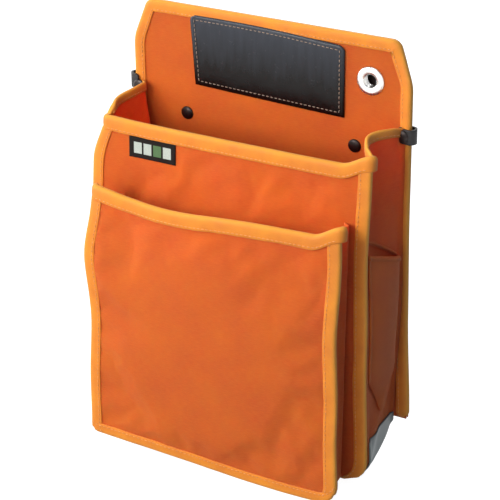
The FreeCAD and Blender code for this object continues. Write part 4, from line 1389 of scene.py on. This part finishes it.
def make_main_gussets():
    """The main gussets, held still at their seams, at the vinyl's ears and, on the right, at
    the side pocket while they settle."""
    ears_top = high_of("bottom_reinforcement").z - FOOT_Z
    for word, side in SIDES:
        place = main_gusset_wall(side)
        depth, z = gusset_grid(main_gusset_foot,
                               lambda d: main_gusset_top(d, side) - MM)
        rim = (depth < 0.12) | (depth > 0.86) | (z > main_gusset_top(depth, side) - 10 * MM)
        rim |= z < ears_top + 3 * MM
        if side > 0:
            rim |= (z > POCKET_LOW.z - FOOT_Z - 5 * MM) & (z < SLIT_RIM_FRONT + 14 * MM)
        piece, width = gusset_sheet(f"main_gusset_canvas_{word}", place, depth, z, rim)
        nodes = [f"main_gusset_{word}_rear", f"main_gusset_{word}_front"]
        finish_piece(piece, CANVAS, MAIN_BLEND, nodes)
        nodes = [f"gusset_binding_{word}_rear", f"gusset_binding_{word}_front"]
        bind((f"gusset_tape_{word}", f"gusset_tape_stitches_{word}"), place,
             gusset_top_path(main_gusset_top, side, 0.03, 0.985), CLOTH, MAIN_BLEND, nodes,
             50 + side, width=6.5 * MM)


def make_pocket_gussets():
    """The front pocket's gussets, held still at their seams while they settle."""
    for word, side in SIDES:
        depth, z = gusset_grid(lambda d: pocket_gusset_foot(d, side),
                               lambda d: pocket_gusset_top(d, side), columns=21)
        rim = (depth < 0.18) | (depth > 0.84) | (z < 6 * MM)
        piece, width = gusset_sheet(f"pocket_gusset_canvas_{word}", pocket_gusset_wall(side),
                                    depth, z, rim)
        nodes = [f"pocket_gusset_{word}_rear", f"pocket_gusset_{word}_front"]
        finish_piece(piece, CANVAS, POCKET_BLEND, nodes)


# ---------------------------------------------------------------- floor

def make_floor():
    """The canvas floor lining, and the vinyl sling below it with an ear up each side."""
    low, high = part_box("main_floor_lining")
    front, rear = low.y, high.y
    half = high.x
    s, t = shares(21, 61, first=-1)
    x = s * (half - 0.4 * MM) + 0 * t
    y = front + t * (rear - front) + 0 * s
    thick = high_of("bottom_reinforcement").x - GUSSET_X - CLOTH
    lift = thick + CLOTH / 2 + 0.3 * MM
    z = FOOT_Z + floor_height(y) + lift
    points = np.stack((x, y, z), axis=-1)
    piece = cloth_sheet("floor_lining_canvas", points, flat_spots(x, y), CLOTH)
    finish_piece(piece, CANVAS, "back", ["main_floor_lining"])

    bend = 3.5 * MM
    lie = CLOTH / 2 + thick / 2 + 0.35 * MM
    ear_front = high_of("bottom_reinforcement").z - FOOT_Z
    ear_rear = BACK_FOOT - FOOT_Z + 5.0 * MM
    stations = np.linspace(0.96, 0.04, 31)
    depths = main_gusset_wall(1)(stations, 0.0)[:, 1]
    bases = floor_height(depths) - thick / 2
    tops = ear_rear + (ear_front - ear_rear) * stations
    halves, flat_steps, bend_steps, ear_steps = [], 24, 6, 12
    for side in (-1, 1):
        wall = main_gusset_wall(side)
        rows = []
        for station, base, top in zip(stations, bases, tops):
            heights = np.linspace(top, base + bend, ear_steps)
            row = [tuple(wall(station, z, lie)) for z in heights]
            edge_x = row[-1][0]
            for k in range(1, bend_steps + 1):
                turn = 0.5 * math.pi * k / bend_steps
                x = edge_x - side * bend * (1 - math.cos(turn))
                row.append((x, row[-1][1], FOOT_Z + base + bend * (1 - math.sin(turn))))
            inner = row[-1][0]
            for k in range(1, flat_steps + 1):
                row.append((inner * (1 - k / flat_steps), row[-1][1], FOOT_Z + base))
            rows.append(row)
        halves.append(np.array(rows))
    points = np.concatenate((halves[0], halves[1][:, -2::-1]), axis=1)
    along = np.stack([run_along(row) for row in points])
    piece = cloth_sheet("bottom_vinyl_sling", points, flat_spots(along, depths[:, None]), thick)
    finish_piece(piece, VINYL, "back", ["bottom_reinforcement"])


# ---------------------------------------------------------------- side pocket

def slit_depth(node_y):
    """A depth of the right gusset, 0 at the back panel, for a depth in the row frame."""
    rear_y = BACK_Y - HALF_BACK
    return (rear_y - node_y) / (rear_y - MAIN_TOP[1])


POCKET_LOW, POCKET_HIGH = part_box("side_pocket_panel")
SLIT_REAR = slit_depth(POCKET_HIGH.y)
SLIT_FRONT = 0.92
SLIT_RIM_REAR = low_of("side_pocket_binding").z - FOOT_Z + 7.0 * MM
SLIT_RIM_FRONT = high_of("side_pocket_binding").z - FOOT_Z + 4.0 * MM


def line_place(points):
    """A place along a line of 3D points: (index, down from the line, out to the right)."""
    tangents = np.gradient(points, axis=0)
    tangents = tangents / np.linalg.norm(tangents, axis=-1, keepdims=True)
    down = np.array((0.0, 0.0, -1.0))
    outwards = np.cross(tangents, down)
    outwards = outwards / np.linalg.norm(outwards, axis=-1, keepdims=True)
    outwards = outwards * np.sign(outwards[:, :1])

    def place(index, inset, out=0.0):
        index, inset, out = np.broadcast_arrays(np.asarray(index, int), inset, out)
        return points[index] + inset[..., None] * down + out[..., None] * outwards[index]

    return place


def hem(name, points, room, width, seed):
    """A narrow folded hem of canvas along a line of points."""
    count = np.arange(len(points))

    def path(inset):
        return count, inset + 0.0 * count

    return tape(name, line_place(points), path, room, width, seed=seed)


def make_side_pocket():
    """The small pocket on the right gusset: a bellied panel that tapers to its foot, with a
    hemmed rim that gapes, and the hem of the slit above it."""
    wall = main_gusset_wall(1)
    tip = POCKET_LOW.z - FOOT_Z
    s, t = shares(61, 41)
    tip_depth = 0.5 * (SLIT_REAR + SLIT_FRONT) + 0.02
    width_share = 0.16 + 0.84 * smooth(t / 0.28)
    rear = tip_depth + (SLIT_REAR - tip_depth) * width_share
    front = tip_depth + (SLIT_FRONT - tip_depth) * width_share
    depth = rear + (front - rear) * s
    rim = SLIT_RIM_REAR + (SLIT_RIM_FRONT - SLIT_RIM_REAR) * s
    z = tip + (rim - tip) * t - 5.0 * MM * np.sin(math.pi * s) * (1 - t) ** 3
    belly = np.sin(math.pi * s ** 0.85) ** 0.8 * smooth(t / 0.22) * (0.5 + 0.5 * t)
    stand = CLOTH + 0.2 * MM + 8.0 * MM * belly
    points = wall(depth, z, stand)
    along = np.stack([run_along(row) for row in points])
    piece = cloth_sheet("side_pocket_canvas", points, flat_spots(along, z), CLOTH)
    finish_piece(piece, CANVAS, MAIN_BLEND, ["side_pocket_panel"])
    piece = hem("side_pocket_rim_hem", points[-1] + (0, 0, 0.8 * MM), CLOTH, 3.6 * MM, 61)
    finish_piece(piece, CANVAS, MAIN_BLEND, ["side_pocket_binding"])
    s = np.linspace(0.0, 1.0, 41)
    depth = SLIT_REAR + (SLIT_FRONT - SLIT_REAR) * s
    bow = 9.0 * MM * np.sin(0.5 * math.pi * s) ** 0.8
    height = SLIT_RIM_REAR + (SLIT_RIM_FRONT - SLIT_RIM_REAR) * s + bow
    points = wall(depth, height + 2.0 * MM, CLOTH)
    piece = hem("side_slit_hem", points, 0.6 * MM, 3.0 * MM, 62)
    finish_piece(piece, CANVAS, MAIN_BLEND)


# ---------------------------------------------------------------- studio

def make_studio():
    """A pale floor that curves up into a pale wall all round, which lights nothing itself."""
    radius, wall, curve = 3.0, 2.5, 0.8
    level = radius - curve
    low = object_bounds()[0].z - 0.5 * MM
    profile = [(0.0, 0.0), (0.5, 0.0), (1.2, 0.0), (level, 0.0)]
    profile += [
        (level + curve * math.sin(a), curve - curve * math.cos(a))
        for a in np.linspace(0.1, math.pi / 2, 10)
    ]
    profile += [(radius, wall)]
    points, sides = [], 96
    for reach, height in profile:
        for k in range(sides):
            turn = 2 * math.pi * k / sides
            points.append((reach * math.cos(turn), reach * math.sin(turn), low + height))
    floor = add_mesh("studio_floor", points, grid_faces(len(profile), sides, closed_columns=True))
    recipe = Recipe("studio_white", (0.3, 0.3, 0.3, 1.0), 0.9, Emission_Color=(1, 1, 1, 1),
                    Emission_Strength=0.95)
    floor.data.materials.append(recipe.material)
    floor.visible_diffuse = False
    floor.visible_shadow = False
    floor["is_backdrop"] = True


def area_light(name, azimuth, elevation, distance, width, power, target):
    """A soft rectangular lamp aimed at the pouch; azimuth 0 is straight in front."""
    lamp = bpy.data.lights.new(name, "AREA")
    lamp.shape = "RECTANGLE"
    lamp.size = width
    lamp.size_y = width
    lamp.energy = power
    made = bpy.data.objects.new(name, lamp)
    a, e = math.radians(azimuth), math.radians(elevation)
    way = Vector((math.sin(a) * math.cos(e), -math.cos(a) * math.cos(e), math.sin(e)))
    made.location = Vector(target) + way * distance
    made.rotation_euler = (-way).to_track_quat("-Z", "Y").to_euler()
    bpy.context.scene.collection.objects.link(made)


def make_lights():
    middle = (0.0, -0.08, -0.12)
    area_light("key", -26, 28, 1.0, 0.5, 8.4, middle)
    area_light("front", 0, 8, 1.7, 1.1, 8.8, middle)
    area_light("top", 5, 72, 1.6, 1.0, 6, middle)
    area_light("right_rear", 145, 14, 1.6, 1.2, 1.0, middle)
    area_light("left", -82, 18, 1.4, 0.8, 11, middle)
    area_light("left_rear", 200, 30, 1.6, 1.0, 11, middle)
    world = bpy.data.worlds.new("studio")
    world.use_nodes = True
    background = world.node_tree.nodes["Background"]
    background.inputs["Color"].default_value = (0.55, 0.75, 1.0, 1.0)
    background.inputs["Strength"].default_value = 0.24
    bpy.context.scene.world = world
    bpy.context.scene.view_settings.view_transform = "Standard"


def make_camera():
    """A long lens at the photograph's own angle: right of the front, and above."""
    azimuth, elevation, roll = math.radians(29.5), math.radians(25.0), math.radians(-0.5)
    distance = 1.3328
    target = Vector((0.0168, -0.0681, -0.0973))
    forward = Vector((-math.sin(azimuth) * math.cos(elevation),
                      math.cos(azimuth) * math.cos(elevation), -math.sin(elevation)))
    right = Vector((math.cos(azimuth), math.sin(azimuth), 0.0))
    up = right.cross(forward)
    turned_right = math.cos(roll) * right + math.sin(roll) * up
    turned_up = -math.sin(roll) * right + math.cos(roll) * up
    camera = bpy.data.cameras.new("camera")
    camera.lens = 142.5
    camera.sensor_width = 36.0
    camera.clip_start, camera.clip_end = 0.05, 20.0
    made = bpy.data.objects.new("camera", camera)
    rotation = Matrix((turned_right, turned_up, -forward)).transposed().to_4x4()
    made.matrix_world = Matrix.Translation(target - forward * distance) @ rotation
    bpy.context.scene.collection.objects.link(made)
    bpy.context.scene.camera = made


# ---------------------------------------------------------------- all together

make_back()
make_patch()
make_belt_band()
make_rear_strap()
make_eyelet()
make_rivets()
make_main_front()
make_tag()
make_pocket()
make_pocket_floor()
make_main_gussets()
make_pocket_gussets()
make_floor()
make_side_pocket()
frame["nodes"]["back_stiffener"].data.materials.clear()
frame["nodes"]["back_stiffener"].data.materials.append(BOARD)
make_studio()
make_lights()
make_camera()

boxes = {"cad": CAD_BOX, "visual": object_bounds()}
{name: [list(corner) for corner in box] for name, box in boxes.items()}
